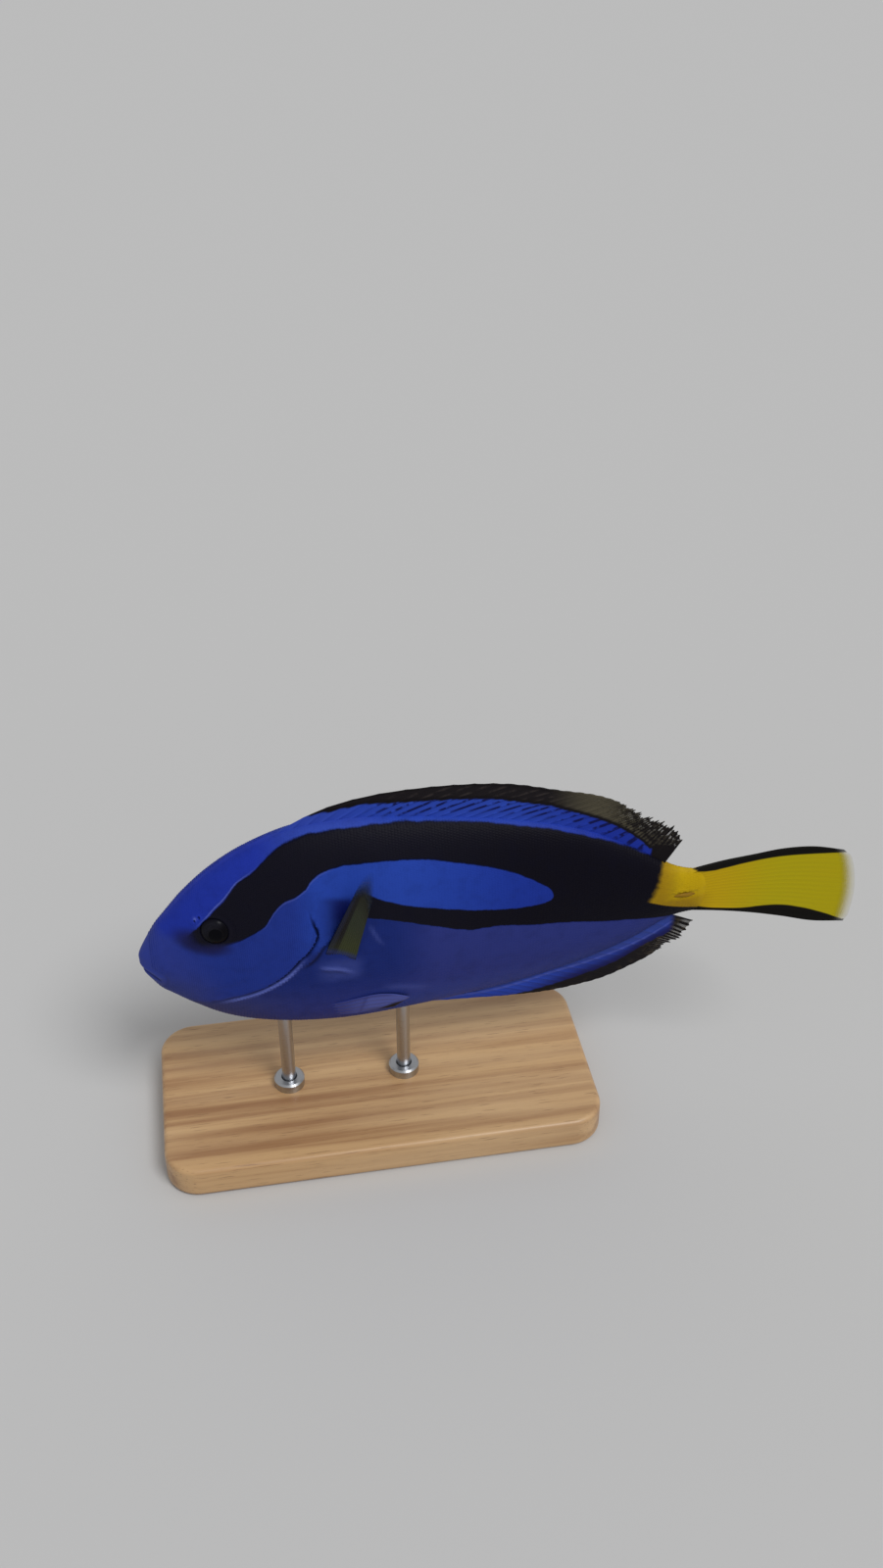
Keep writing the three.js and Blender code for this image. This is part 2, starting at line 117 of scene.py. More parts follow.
def smooth_at(stations, column, at):
    """A smooth value between stations: each span is a cubic with its neighbours' slopes."""
    stations = np.asarray(stations, float)
    places, values = stations[:, 0], stations[:, column]
    last = len(places) - 1
    before = np.maximum(np.arange(last + 1) - 1, 0)
    after = np.minimum(np.arange(last + 1) + 1, last)
    slopes = (values[after] - values[before]) / (places[after] - places[before])
    at = np.clip(at, places[0], places[-1])
    i = np.clip(np.searchsorted(places, at) - 1, 0, last - 1)
    span = places[i + 1] - places[i]
    t = (at - places[i]) / span
    start = values[i] * (2 * t**3 - 3 * t**2 + 1) + slopes[i] * span * (t**3 - 2 * t**2 + t)
    return start + values[i + 1] * (3 * t**2 - 2 * t**3) + slopes[i + 1] * span * (t**3 - t**2)


def section_at(at, grow=0.0):
    """The section's height above and below its widest point, and its half width, in metres."""
    nose = np.maximum(0, 1 - at / SNOUT_ROUNDING)
    tail = np.maximum(0, 1 - (1 - at) / TAIL_ROUNDING)
    rounding = np.sqrt(np.clip(1 - nose**2, 0, 1)) * np.sqrt(np.clip(1 - tail**2, 0, 1))
    wide = smooth_at(BODY_FORM, WIDE, at) * STANDARD_LENGTH
    up = (smooth_at(BODY_FORM, BACK, at) * STANDARD_LENGTH - wide) * rounding + grow
    down = (wide - smooth_at(BODY_FORM, BELLY, at) * STANDARD_LENGTH) * rounding + grow
    half = smooth_at(BODY_FORM, HALF, at) * STANDARD_LENGTH * rounding + grow
    return wide, up, down, half, smooth_at(BODY_FORM, RIDGE, at)


def flank_at(at, above):
    """How far the flank stands out from the middle plane at a height in metres."""
    wide, up, down, half, ridge = section_at(at)
    share = (above - wide) / np.where(above > wide, up, down)
    return half * np.clip(1 - share**2, 0, 1) ** (ridge / 2)


def posed(behind, right, above):
    """From the straight fish to where it swims, in metres. The snout's tip is drawn out a little."""
    behind = behind - SNOUT_REACH * np.maximum(0, 1 - behind / SNOUT_FADE) ** 2
    turn = np.maximum(0, behind - BEND_FROM) / BEND_RADIUS
    x = SNOUT_X + np.minimum(behind, BEND_FROM) + (BEND_RADIUS + right) * np.sin(turn)
    y = right * np.cos(turn) - BEND_RADIUS * (1 - np.cos(turn))
    return np.stack([x, y, AXIS_HEIGHT + above + 0 * x], axis=-1)


def back_at(at):
    wide, up, _, _, _ = section_at(at)
    return wide + up


def belly_at(at):
    wide, _, down, _, _ = section_at(at)
    return wide - down


print("depth at a third:", round(float(back_at(1 / 3) - belly_at(1 / 3)) / MM, 1), "mm")


# %% [markdown]
# ## Helpers for lines and slopes
#
# Most of the fish's relief follows lines on its side: the edge of the gill cover, the lips, the lateral
# line. A smooth line through a few points and the distance to it is all that such relief needs.


# %% Lines on the side of the fish
def rise(value, low, high):
    """0 up to low and 1 from high, with a soft step between."""
    t = np.clip((value - low) / (high - low), 0, 1)
    return t * t * (3 - 2 * t)


def hump(distance, width):
    return np.exp(-((distance / width) ** 2))


class SideLine:
    """A smooth line in the side view through points given as shares of the standard length."""

    STEPS = 64

    def __init__(self, *points):
        points = np.array(points) * STANDARD_LENGTH
        walked = np.r_[0, np.cumsum(np.hypot(*np.diff(points, axis=0).T))]
        self.length = walked[-1]
        stations = np.c_[walked, points]
        steps = np.linspace(0, self.length, self.STEPS + 1)
        self.points = np.stack([smooth_at(stations, 1, steps), smooth_at(stations, 2, steps)], axis=-1)

    def near(self, behind, above, reach):
        """Signed distance in metres, and the share of the way along, where the line is within reach."""
        distance = np.full(behind.shape, reach)
        along = np.zeros(behind.shape)
        low, high = self.points.min(0) - reach, self.points.max(0) + reach
        close = (behind > low[0]) & (behind < high[0]) & (above > low[1]) & (above < high[1])
        place = np.stack([behind[close], above[close]], axis=-1)[:, None]
        start, end = self.points[None, :-1], self.points[None, 1:]
        way = end - start
        t = np.clip(((place - start) * way).sum(-1) / (way**2).sum(-1), 0, 1)
        gap = place - start - t[..., None] * way
        far = np.hypot(gap[..., 0], gap[..., 1])
        best = far.argmin(1)
        rows = np.arange(len(best))
        side = np.sign(way[0, best, 0] * gap[rows, best, 1] - way[0, best, 1] * gap[rows, best, 0])
        distance[close] = np.clip(far[rows, best] * side, -reach, reach)
        along[close] = (best + t[rows, best]) / self.STEPS
        return distance, along


# %% [markdown]
# ## The skin's relief
#
# The skin of a surgeonfish is taut and smooth, and its relief sits on the head. The gill cover is a plate
# whose rear edge stands over a deep crease. The lips are small and thick. Two nostrils open in front of
# the eye, and the eye sits in a socket with a soft rim. A row of little tubes, the lateral line, runs
# along the upper flank, and a groove in the tail's root takes the folded blade.
#
# Each line carries ridges. A ridge changes the height, or says how much painted shade darkens the creases,
# or how much painted highlight lightens the edge of a fold, a lip or a rim. Its fade says where along the
# line it grows to its full amount, where it wanes, and what is left of it at the end.

# %% Where the relief lies
GILL_EDGE = SideLine(
    (0.283, 0.085), (0.291, 0.054), (0.297, 0.029), (0.28, -0.004), (0.267, -0.016), (0.256, -0.031),
    (0.232, -0.057), (0.189, -0.086), (0.144, -0.105), (0.115, -0.117),
)  # fmt: skip
SHOULDER_EDGE = SideLine((0.322, 0.045), (0.327, 0.027), (0.307, 0.004), (0.291, -0.021), (0.266, -0.042))
BREAST_FOLD = SideLine((0.294, -0.04), (0.311, -0.0445), (0.337, -0.0505), (0.364, -0.067))
ARMPIT_FOLD = SideLine((0.388, 0.046), (0.393, 0.027), (0.404, 0.004), (0.415, -0.012))
FLANK_FOLD = SideLine((0.4, -0.113), (0.43, -0.117), (0.46, -0.125), (0.51, -0.139))
CHEEK_LINE = SideLine((0.165, 0.0), (0.178, -0.03), (0.166, -0.058), (0.132, -0.074), (0.09, -0.08))
MOUTH_LINE = SideLine((-0.03, -0.054), (0.006, -0.057), (0.02, -0.063), (0.031, -0.073))
LIP_FOLD = SideLine((0.034, -0.05), (0.043, -0.064), (0.041, -0.08), (0.031, -0.092))
LATERAL_LINE = SideLine(
    (0.292, 0.128), (0.33, 0.152), (0.4, 0.168), (0.5, 0.163), (0.6, 0.147), (0.7, 0.122), (0.8, 0.087),
    (0.87, 0.052), (0.92, 0.02), (0.985, 0.008),
)  # fmt: skip
EYE_AT, EYE_UP = 0.13, 0.0475
EYE_RADIUS = 4 * MM
EYE_DEPTH = 2.3 * MM
EYE_SUNK = 1 * MM
NOSTRILS = [(0.0985, 0.0625, 0.36 * MM), (0.1065, 0.0695, 0.46 * MM)]
NOSTRIL_RIM = (0.1, 0.067)
BLADE_FROM, BLADE_TO = 0.925, 0.983
PECTORAL_ROOT = (0.337, -0.019)
TUBES = 104
NO_FADE = (-2, -1, 2, 3, 1)
FOLD_FADE = (0, 0.3, 0.6, 1, 0)
RIDGES = [
    # line, its reach in mm, the fade as start, full, waning, end and what is left, and its ridges:
    #     kind, amount (a height's is in mm), distance aside, half widths before and behind the line, in mm
    (GILL_EDGE, 7, (0, 0.16, 0.62, 0.98, 0.25), [
        ("height", 0.5, 0, 4.5, 0.22), ("height", -0.55, 0.5, 0.25, 0.42),
        ("height", 0.25, 1.7, 0.8, 0.8), ("crease", 1, 0.5, 0.25, 0.42),
    ]),
    (GILL_EDGE, 7, (0.3, 0.55, 0.85, 1, 0), [("pale", 1.1, 1.45, 0.5, 0.5)]),
    (SHOULDER_EDGE, 4, (0, 0.2, 0.8, 1, 0), [("height", 0.2, -0.5, 1, 1), ("height", -0.26, 0.5, 0.6, 0.6)]),
    (SHOULDER_EDGE, 4, (0.2, 0.45, 0.8, 1, 0), [("crease", 0.85, 0.5, 0.6, 0.6)]),
    (BREAST_FOLD, 4, FOLD_FADE, [
        ("height", 0.3, 0, 0.9, 0.9), ("crease", 0.3, -1.2, 0.7, 0.7), ("pale", 0.6, 0.2, 0.6, 0.6),
    ]),
    (ARMPIT_FOLD, 4, FOLD_FADE, [("height", 0.12, 0, 0.6, 0.6), ("pale", 0.22, 0, 0.6, 0.6)]),
    (FLANK_FOLD, 4, FOLD_FADE, [("height", 0.12, 0, 1.4, 1.4), ("pale", 0.22, 0, 1.4, 1.4)]),
    (CHEEK_LINE, 5, (0, 0.25, 0.75, 1, 0), [("height", 0.12, 0, 2.5, 0.5)]),
    (MOUTH_LINE, 4, (-2, -1, 0.9, 1, 0), [
        ("height", 0.2, 1.25, 0.85, 0.85), ("height", 0.23, -1.2, 0.8, 0.8),
        ("pale", 0.15, 1.1, 0.5, 0.5), ("pale", 0.15, -1.1, 0.5, 0.5),
    ]),
    (MOUTH_LINE, 4, (-2, -1, 0.9, 1, 0.35), [("height", -0.5, 0, 0.33, 0.33)]),
    (MOUTH_LINE, 4, NO_FADE, [("crease", 0.5, 0, 0.28, 0.28)]),
    (LIP_FOLD, 3, (0, 0.4, 0.6, 1, 0), [("height", -0.14, 0, 0.6, 0.6), ("crease", 0.22, 0, 0.5, 0.5)]),
]  # fmt: skip


# %% Relief
def from_point(behind, above, at, up):
    return np.hypot(behind - at * STANDARD_LENGTH, above - up * STANDARD_LENGTH)


def pit(distance, floor, edge):
    """1 over the floor of a round pit, and 0 from its edge on."""
    return 1 - rise(distance, floor, edge)


def relief_at(behind, above):
    """How far the skin stands out in metres, and the painted shade of creases and highlight of ridges, 0 to
    1.
    """
    relief = {kind: np.zeros(behind.shape) for kind in ("height", "crease", "pale")}
    for line, reach, (start, full, waning, end, left), ridges in RIDGES:
        far, along = line.near(behind, above, reach * MM)
        strong = rise(along, start, full) * (1 - (1 - left) * rise(along, waning, end))
        for kind, amount, aside, before, after in ridges:
            relief[kind] += strong * amount * hump(far / MM - aside, np.where(far < 0, before, after))

    from_eye = from_point(behind, above, EYE_AT, EYE_UP) / MM
    socket = -2.4 * pit(from_eye, 3.15, 3.85)
    rim = 0.16 * hump(from_eye - 4.5, 0.65)
    furrow = -0.08 * hump(from_eye - 5.8, 0.6)
    relief["height"] += socket + rim + furrow
    # Painted shade in the eye's socket.
    relief["crease"] += 0.6 * pit(from_eye, 3.4, 4.1)

    for at, up, radius in NOSTRILS:
        from_hole = from_point(behind, above, at, up) / radius
        hole = -0.6 * pit(from_hole, 0.45, 1)
        rim = 0.1 * hump(from_hole - 1.35, 0.35)
        relief["height"] += hole + rim
        # Painted shade in the nostril.
        relief["crease"] += 0.55 * pit(from_hole, 0.5, 0.95)
    # A painted highlight on the rim between the nostrils.
    relief["pale"] += 0.9 * hump(from_point(behind, above, *NOSTRIL_RIM), 0.42 * MM)

    far, along = LATERAL_LINE.near(behind, above, 2 * MM)
    row = rise(along, 0, 0.05)
    tube = 0.5 - 0.5 * np.cos(2 * np.pi * along * TUBES)
    crest = 0.1 * hump(far, 0.3 * MM) * (0.4 + 0.6 * tube)
    trough = -0.03 * hump(far, 0.9 * MM)
    relief["height"] += row * (crest + trough)
    # Painted shade between the lateral line's tubes.
    relief["crease"] += 0.15 * row * hump(far, 0.16 * MM) * (1 - tube)

    blade_middle, blade_half = (BLADE_FROM + BLADE_TO) / 2, (BLADE_TO - BLADE_FROM) / 2
    along = (behind / STANDARD_LENGTH - blade_middle) / blade_half
    groove = -0.75 * hump(along, 0.8) ** 3 * hump(above, 0.85 * MM)
    banks = 0.12 * hump(along, 0.95) * hump(np.abs(above) - 1.7 * MM, 0.7 * MM)
    relief["height"] += groove + banks
    # Painted shade along the groove's upper edge.
    relief["crease"] += 0.45 * hump(along, 1) ** 2 * hump(above - 0.95 * MM, 0.3 * MM)

    relief["height"] += 0.3 * hump(from_point(behind, above, *PECTORAL_ROOT), 3.2 * MM)
    return relief["height"] * MM, np.clip(relief["crease"], 0, 1), np.clip(relief["pale"], 0, 1)


print("lateral line:", round(LATERAL_LINE.length / MM), "mm long")

# %% [markdown]
# ## The skin
#
# The body starts as a sphere whose poles are the snout and the tail's root. Its rings are spread by the
# length of the back's outline, finer on the head, and the steps round each ring are finer on the flanks.
# The faces near the eye, the mouth, the nostrils and the gill cover are divided once more, because the
# relief is finest there. Each vertex is then laid on the body's form and pushed out or in by the relief.
# The skin lies a little inside the solids, by the depth of the scales that cover it.

# %% The rings of the body
SCALE_DEPTH = 0.12 * MM
SKIN_SIDES = 216
RING_STEP_HEAD = 0.33 * MM
RING_STEP_REAR = 0.74 * MM
RINGS_WIDEN = (0.26, 0.4)  # where along the body the step grows
FLANK_CROWDING = 0.45
PROFILE_STEPS = 20000

profile_at = (1 - np.cos(np.linspace(0, math.pi, PROFILE_STEPS + 1))) / 2
profile_up = section_at(profile_at)[1]
profile_step = np.hypot(np.diff(profile_at) * STANDARD_LENGTH, np.diff(profile_up))
wanted_step = RING_STEP_HEAD + (RING_STEP_REAR - RING_STEP_HEAD) * rise(profile_at[1:], *RINGS_WIDEN)
profile_rings = np.r_[0, np.cumsum(profile_step / wanted_step)]
SKIN_RINGS = round(profile_rings[-1])
print("rings:", SKIN_RINGS)


# %% From the sphere to the body
def sphere_places(bm):
    """Share along the body and angle round it, for each vertex of the starting sphere."""
    way = np.array([v.co.normalized() for v in bm.verts])
    down = np.arccos(np.clip(way[:, 2], -1, 1)) / math.pi
    at = np.interp(down * profile_rings[-1], profile_rings, profile_at)
    angle = np.arctan2(way[:, 1], way[:, 0])
    return at, angle - FLANK_CROWDING * np.sin(2 * angle) / 2


def on_skin(at, angle):
    """The straight fish's coordinates where the smooth skin lies, in metres. Angle 0 is the right flank."""
    wide, up, down, half, ridge = section_at(at, -SCALE_DEPTH)
    across, tall = np.cos(angle), np.sin(angle)
    right = np.sign(across) * np.maximum(half, 0) * np.abs(across) ** ridge
    above = wide + tall * np.maximum(np.where(tall > 0, up, down), 0)
    behind = SCALE_DEPTH + at * (STANDARD_LENGTH - 2 * SCALE_DEPTH)
    return np.stack(np.broadcast_arrays(behind, right, above), axis=-1)


# %% From a bmesh to a piece
def place_vertices(bm, places):
    for vertex, place in zip(bm.verts, places):
        vertex.co = place


def finish_piece(name, bm, material, slot, *replaced, smooth=True):
    """Turns a bmesh into a piece of the fish that rides with the body."""
    for face in bm.faces:
        face.smooth = smooth
    mesh = bpy.data.meshes.new(name)
    bm.to_mesh(mesh)
    bm.free()
    piece = bpy.data.objects.new(name, mesh)
    bpy.context.scene.collection.objects.link(piece)
    mesh.materials.append(material)
    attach(piece, "root")
    if replaced:
        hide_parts(*replaced)
    print(name, len(mesh.polygons), "faces")
    return piece


def write_attribute(piece, name, values):
    """Stores one number, or three, for each vertex."""
    values = np.asarray(values, np.float32)
    kind, field = ("FLOAT", "value") if values.ndim == 1 else ("FLOAT_VECTOR", "vector")
    attribute = piece.data.attributes.new(name, kind, "POINT")
    attribute.data.foreach_set(field, values.ravel())


# %% Skin mesh
FINE_ROUND_EYE = 5.5 * MM
FINE_ROUND_NOSTRIL = 3  # in nostril radii
FINE_LINES = ((GILL_EDGE, 1.6 * MM), (MOUTH_LINE, 2.4 * MM))

bm = bmesh.new()
bmesh.ops.create_uvsphere(bm, u_segments=SKIN_SIDES, v_segments=SKIN_RINGS, radius=1)
behind, right, above = on_skin(*sphere_places(bm)).T
fine = from_point(behind, above, EYE_AT, EYE_UP) < FINE_ROUND_EYE
for at, up, radius in NOSTRILS:
    fine |= from_point(behind, above, at, up) < FINE_ROUND_NOSTRIL * radius
for line, reach in FINE_LINES:
    fine |= np.abs(line.near(behind, above, 2 * reach)[0]) < reach
fine_faces = [face for face in bm.faces if all(fine[v.index] for v in face.verts)]
fine_edges = list({edge for face in fine_faces for edge in face.edges})
bmesh.ops.subdivide_edges(bm, edges=fine_edges, cuts=1, use_grid_fill=True)
bmesh.ops.triangulate(bm, faces=[face for face in bm.faces if len(face.verts) > 4])
bm.verts.index_update()

skin_at, skin_angle = sphere_places(bm)
behind, right, above = on_skin(skin_at, skin_angle).T
place_vertices(bm, posed(behind, right, above))
bmesh.ops.recalc_face_normals(bm, faces=bm.faces[:])
bm.normal_update()
# How far each vertex stands out, and its painted shade in creases and painted highlight along ridges.
height, crease, pale = relief_at(behind, above)
normals = np.array([v.normal for v in bm.verts])
place_vertices(bm, np.array([v.co for v in bm.verts]) + normals * height[:, None])
side_place = np.stack([behind, above, right], axis=-1) / STANDARD_LENGTH
skin_triangles = sum(len(face.verts) - 2 for face in bm.faces)
print("skin:", skin_triangles, "triangles")

# %% [markdown]
# ## A small language for finishes
#
# A finish is a network of nodes. Written one node at a time it hides its own meaning, so a small class
# wraps a socket and takes part in Python's arithmetic: adding two wires adds a Math node. One method makes
# every other kind of node from its settings and the values or wires of its sockets.


# %% Wires and finishes
def srgb(red, green, blue):
    """A colour as it is seen, from 0 to 255, turned into the linear colour that a shader takes."""
    parts = [c / 255 / 12.92 if c <= 10 else ((c / 255 + 0.055) / 1.055) ** 2.4 for c in (red, green, blue)]
    return (*parts, 1)


def signs(operation):
    """A sign of arithmetic and its reflected form, which each add a Math node."""

    def plain(wire, other):
        return wire.maths(operation, wire, other)

    def reflected(wire, other):
        return wire.maths(operation, other, wire)

    return plain, reflected


class Wire:
    """A value somewhere in a finish."""

    def __init__(self, finish, socket):
        self.finish = finish
        self.socket = socket

    def maths(self, operation, first, second=0):
        return self.finish.node("ShaderNodeMath", {"operation": operation}, {0: first, 1: second})

    __add__, __radd__ = signs("ADD")
    __sub__, __rsub__ = signs("SUBTRACT")
    __mul__, __rmul__ = signs("MULTIPLY")
    __truediv__, __rtruediv__ = signs("DIVIDE")
    __pow__, __rpow__ = signs("POWER")
    __or__, __ror__ = signs("MAXIMUM")
    __and__, __rand__ = signs("MINIMUM")

    def __abs__(self):
        return self.maths("ABSOLUTE", self)

    def rise(self, low, high):
        """0 up to low and 1 from high, with a soft step between."""
        settings = {"interpolation_type": "SMOOTHSTEP"}
        return self.finish.node("ShaderNodeMapRange", settings, {0: self, 1: low, 2: high})

    def over(self, line, soft):
        """1 where this value is above the line, with a soft edge on both sides of it."""
        return (self - line).rise(-soft, soft)

    def under(self, line, soft):
        return (self - line).rise(soft, -soft)

    def between(self, start, full, waning, end):
        """1 from full to waning, and 0 before the start and after the end."""
        return self.rise(start, full) * self.rise(end, waning)


class Finish:
    """A material under construction, around one Principled BSDF, whose constants are given by name."""

    def __init__(self, name, **constants):
        self.material = bpy.data.materials.new(name)
        self.material.use_nodes = True
        self.tree = self.material.node_tree
        self.shader = self.tree.nodes["Principled BSDF"]
        for socket, value in constants.items():
            self.shader.inputs[socket.replace("_", " ")].default_value = value

    def node(self, kind, settings=None, sockets=None, out=0):
        made = self.tree.nodes.new(kind)
        for name, value in (settings or {}).items():
            if name == "curve":
                self.bend(made.mapping, value)
            else:
                setattr(made, name, value)
        for key, value in (sockets or {}).items():
            if isinstance(value, Wire):
                self.tree.links.new(value.socket, made.inputs[key])
            else:
                made.inputs[key].default_value = value
        return Wire(self, made.outputs[out])

    @staticmethod
    def bend(mapping, points):
        curve = mapping.curves[0]
        for place in points[1:-1]:
            curve.points.new(*place)
        for point, place in zip(curve.points, points):
            point.location = place
        mapping.update()

    def feed(self, socket, wire):
        self.tree.links.new(wire.socket, self.shader.inputs[socket])

    def read(self, attribute):
        """A vector that the mesh carries, and its three numbers."""
        vector = self.node("ShaderNodeAttribute", {"attribute_name": attribute}, out=1)
        return (vector, *self.split(vector))

    def read_one(self, attribute):
        return self.node("ShaderNodeAttribute", {"attribute_name": attribute}, out=2)

    def split(self, vector):
        return [self.node("ShaderNodeSeparateXYZ", None, {0: vector}, out=i) for i in range(3)]

    def mix(self, mask, colour, other):
        """The first colour where the mask is 0 and the other where it is 1."""
        return self.node("ShaderNodeMix", {"data_type": "RGBA"}, {0: mask, 6: colour, 7: other}, out=2)

    def coats(self, paint, *coats):
        """Lays colours over a paint, each where its mask is 1."""
        for mask, colour in coats:
            paint = self.mix(mask, paint, colour)
        return paint

    def noise(self, vector, scale, detail=2.0, roughness=0.5):
        return self.node("ShaderNodeTexNoise", None, {0: vector, 2: scale, 3: detail, 4: roughness})

    def stretch(self, vector, *scale):
        return self.node("ShaderNodeMapping", None, {0: vector, 3: scale})

    def object_place(self):
        return self.node("ShaderNodeTexCoord", out=3)

    def line(self, value, points):
        """A smooth line through points (value, result) that keeps its end values outside them."""
        points = np.array(points)
        low, high = points.min(0), points.max(0)
        share = self.node("ShaderNodeMapRange", None, {0: value, 1: low[0], 2: high[0]})
        places = [tuple(place) for place in (points - low) / (high - low)]
        bent = self.node("ShaderNodeFloatCurve", {"curve": places}, {1: share})
        return bent * (high[1] - low[1]) + low[1]

    def bump(self, height, distance, strength=1.0):
        """Relief too fine for the mesh: height from 0 to 1, over a distance in metres."""
        normal = self.node("ShaderNodeBump", None, {0: strength, 1: distance, 3: height})
        self.feed("Normal", normal)


# %% [markdown]
# ## The markings
#
# The markings are drawn in the side view, in the same shares as the body's form. Every vertex carries its
# place there, so a marking stays where it belongs on the bent fish and in any other view. A black band
# runs from the eye along the back. It splits round a long blue oval, whose front end is open, and its
# lower arm runs back to the tail's root, where the black ends in a slanted edge and the yellow begins.

# %% Where the markings run
BAND_TOP = [
    (0.08, 0.03), (0.1, 0.05), (0.118, 0.068), (0.136, 0.088), (0.153, 0.105), (0.171, 0.126),
    (0.205, 0.1505), (0.24, 0.179), (0.274, 0.195), (0.31, 0.202), (0.37, 0.2045), (0.43, 0.2035),
    (0.5, 0.196), (0.57, 0.1855), (0.64, 0.1715), (0.71, 0.155), (0.78, 0.132), (0.85, 0.103), (0.9, 0.077),
]  # fmt: skip
BAND_FOOT = [
    (0.06, 0.0), (0.097, 0.0175), (0.113, 0.018), (0.13, 0.0195), (0.146, 0.0215), (0.162, 0.0265),
    (0.18, 0.037), (0.2, 0.0485), (0.213, 0.058), (0.222, 0.0705), (0.232, 0.086), (0.249, 0.102),
    (0.266, 0.109), (0.283, 0.121), (0.3, 0.14), (0.317, 0.15), (0.334, 0.1545), (0.36, 0.157),
    (0.4, 0.1565), (0.465, 0.151), (0.5, 0.145), (0.532, 0.1365), (0.6, 0.1155), (0.634, 0.1025),
    (0.669, 0.084), (0.687, 0.0725), (0.705, 0.0595), (0.7125, 0.049), (0.715, 0.036),
]  # fmt: skip
OVAL_FOOT = [
    (0.38, 0.105), (0.395, 0.096), (0.411, 0.0865), (0.428, 0.0785), (0.461, 0.0655), (0.51, 0.052),
    (0.563, 0.038), (0.6, 0.031), (0.634, 0.0268), (0.67, 0.0247), (0.69, 0.026), (0.705, 0.0292),
    (0.7125, 0.034), (0.715, 0.043),
]  # fmt: skip
OVAL_END = 0.7145
ARM_FROM, ARM_UP = 0.362, 0.079
ARM_FOOT = [
    (0.38, 0.055), (0.41, 0.048), (0.443, 0.0375), (0.477, 0.025), (0.511, 0.0125), (0.546, -0.0005),
    (0.57, -0.006), (0.617, -0.0075), (0.635, -0.01), (0.671, -0.0172), (0.744, -0.0255), (0.817, -0.0375),
    (0.89, -0.045), (0.93, -0.049),
]  # fmt: skip
# From 0.3 to 0.39 along, this edge runs along the top of the pectoral fin's painted shadow, so the darker
# belly blues just below it are partly painted shadow there.
BELLY_TOP = [
    (0.03, -0.125), (0.08, -0.124), (0.115, -0.117), (0.144, -0.105), (0.189, -0.086), (0.232, -0.057),
    (0.256, -0.031), (0.28, -0.004), (0.292, 0.035), (0.3, 0.08), (0.312, 0.098), (0.338, 0.098),
    (0.36, 0.0915), (0.375, 0.075), (0.39, 0.055),
]  # fmt: skip
YELLOW_FRONT = [
    (-0.06, 0.9), (-0.02, 0.892), (-0.0054, 0.893), (0.009, 0.9), (0.0225, 0.905), (0.036, 0.9085),
    (0.05, 0.911), (0.06, 0.9135), (0.07, 0.919),
]  # fmt: skip
YELLOW_TOP = [
    (0.9, 0.07), (0.955, 0.058), (0.978, 0.0445), (1.0, 0.0445), (1.0195, 0.0488), (1.06, 0.061),
    (1.104, 0.072), (1.135, 0.077), (1.179, 0.0815), (1.25, 0.0875),
]  # fmt: skip
YELLOW_FOOT = [
    (0.885, -0.004), (0.9, -0.0095), (0.9241, -0.0186), (0.956, -0.0285), (0.9824, -0.035), (1.0, -0.0382),
    (1.02, -0.0402), (1.068, -0.0412), (1.104, -0.0365), (1.133, -0.035), (1.166, -0.0395), (1.2, -0.048),
    (1.2465, -0.0655),
]  # fmt: skip
DORSAL_BORDER = [
    (0.27, 0.215), (0.31, 0.227), (0.343, 0.23), (0.36, 0.2335), (0.408, 0.2374), (0.44, 0.2348),
    (0.506, 0.2315), (0.573, 0.2263), (0.606, 0.2226), (0.64, 0.2154), (0.674, 0.2065), (0.707, 0.199),
    (0.742, 0.185), (0.776, 0.1715), (0.811, 0.156), (0.846, 0.134), (0.864, 0.1195), (0.876, 0.109),
    (0.888, 0.095),
]  # fmt: skip
ANAL_LINE = [
    (0.49, -0.218), (0.55, -0.2115), (0.614, -0.2066), (0.669, -0.1944), (0.723, -0.1764),
    (0.7945, -0.1543), (0.882, -0.1128), (0.949, -0.0623), (0.97, -0.045),
]  # fmt: skip
ANAL_BORDER = [
    (0.55, -0.237), (0.615, -0.234), (0.67, -0.2255), (0.706, -0.217), (0.742, -0.206), (0.778, -0.1935),
    (0.814, -0.179), (0.849, -0.1605), (0.883, -0.135), (0.917, -0.111), (0.934, -0.1005), (0.97, -0.07),
]  # fmt: skip
DUSK_AT, DUSK_UP = 0.108, 0.023
DUSK_LONG, DUSK_SHORT = 0.052, 0.025
DUSK_COS, DUSK_SIN = 0.97, 0.24
STRIPE_END = 0.89
FACE_SLANT = 0.35

# %% Colours
CROWN_BLUE = srgb(32, 52, 161)
NAPE_BLUE = srgb(50, 72, 170)
# Painted shade: the pectoral fin's shadow on the flank, and the fold across the pelvic fins.
SHADE_BLUE = srgb(12, 20, 92)
SNOUT_BLUE = srgb(49, 63, 150)
CHEEK_BLUE = srgb(33, 54, 142)
OVAL_BLUE = srgb(38, 69, 169)
OVAL_REAR_BLUE = srgb(27, 51, 149)
SHOULDER_BLUE = srgb(25, 42, 114)
BELLY_BLUE = srgb(45, 55, 128)
LOW_BLUE = srgb(50, 68, 148)
THROAT_BLUE = srgb(54, 60, 112)
STRIPE_BLUE = srgb(42, 70, 173)
STRIPE_REAR_BLUE = srgb(27, 49, 154)
ANAL_BLUE = srgb(36, 55, 142)
DUSKY_BLUE = srgb(28, 27, 66)
PALE_BLUE = srgb(104, 118, 202)
BAND_BLACK = srgb(16, 15, 27)
DEEP_BLACK = srgb(9, 7, 19)
LINE_BLACK = srgb(5, 7, 32)
TAIL_ORANGE = srgb(190, 158, 12)
TAIL_YELLOW = srgb(178, 164, 14)
TAIL_OCHRE = srgb(136, 98, 20)
TAIL_BLACK = srgb(13, 11, 8)
FIN_BLACK = srgb(18, 14, 17)
FIN_DARK = srgb(34, 29, 29)
FIN_BROWN = srgb(62, 54, 44)
FIN_OLIVE = srgb(82, 77, 62)

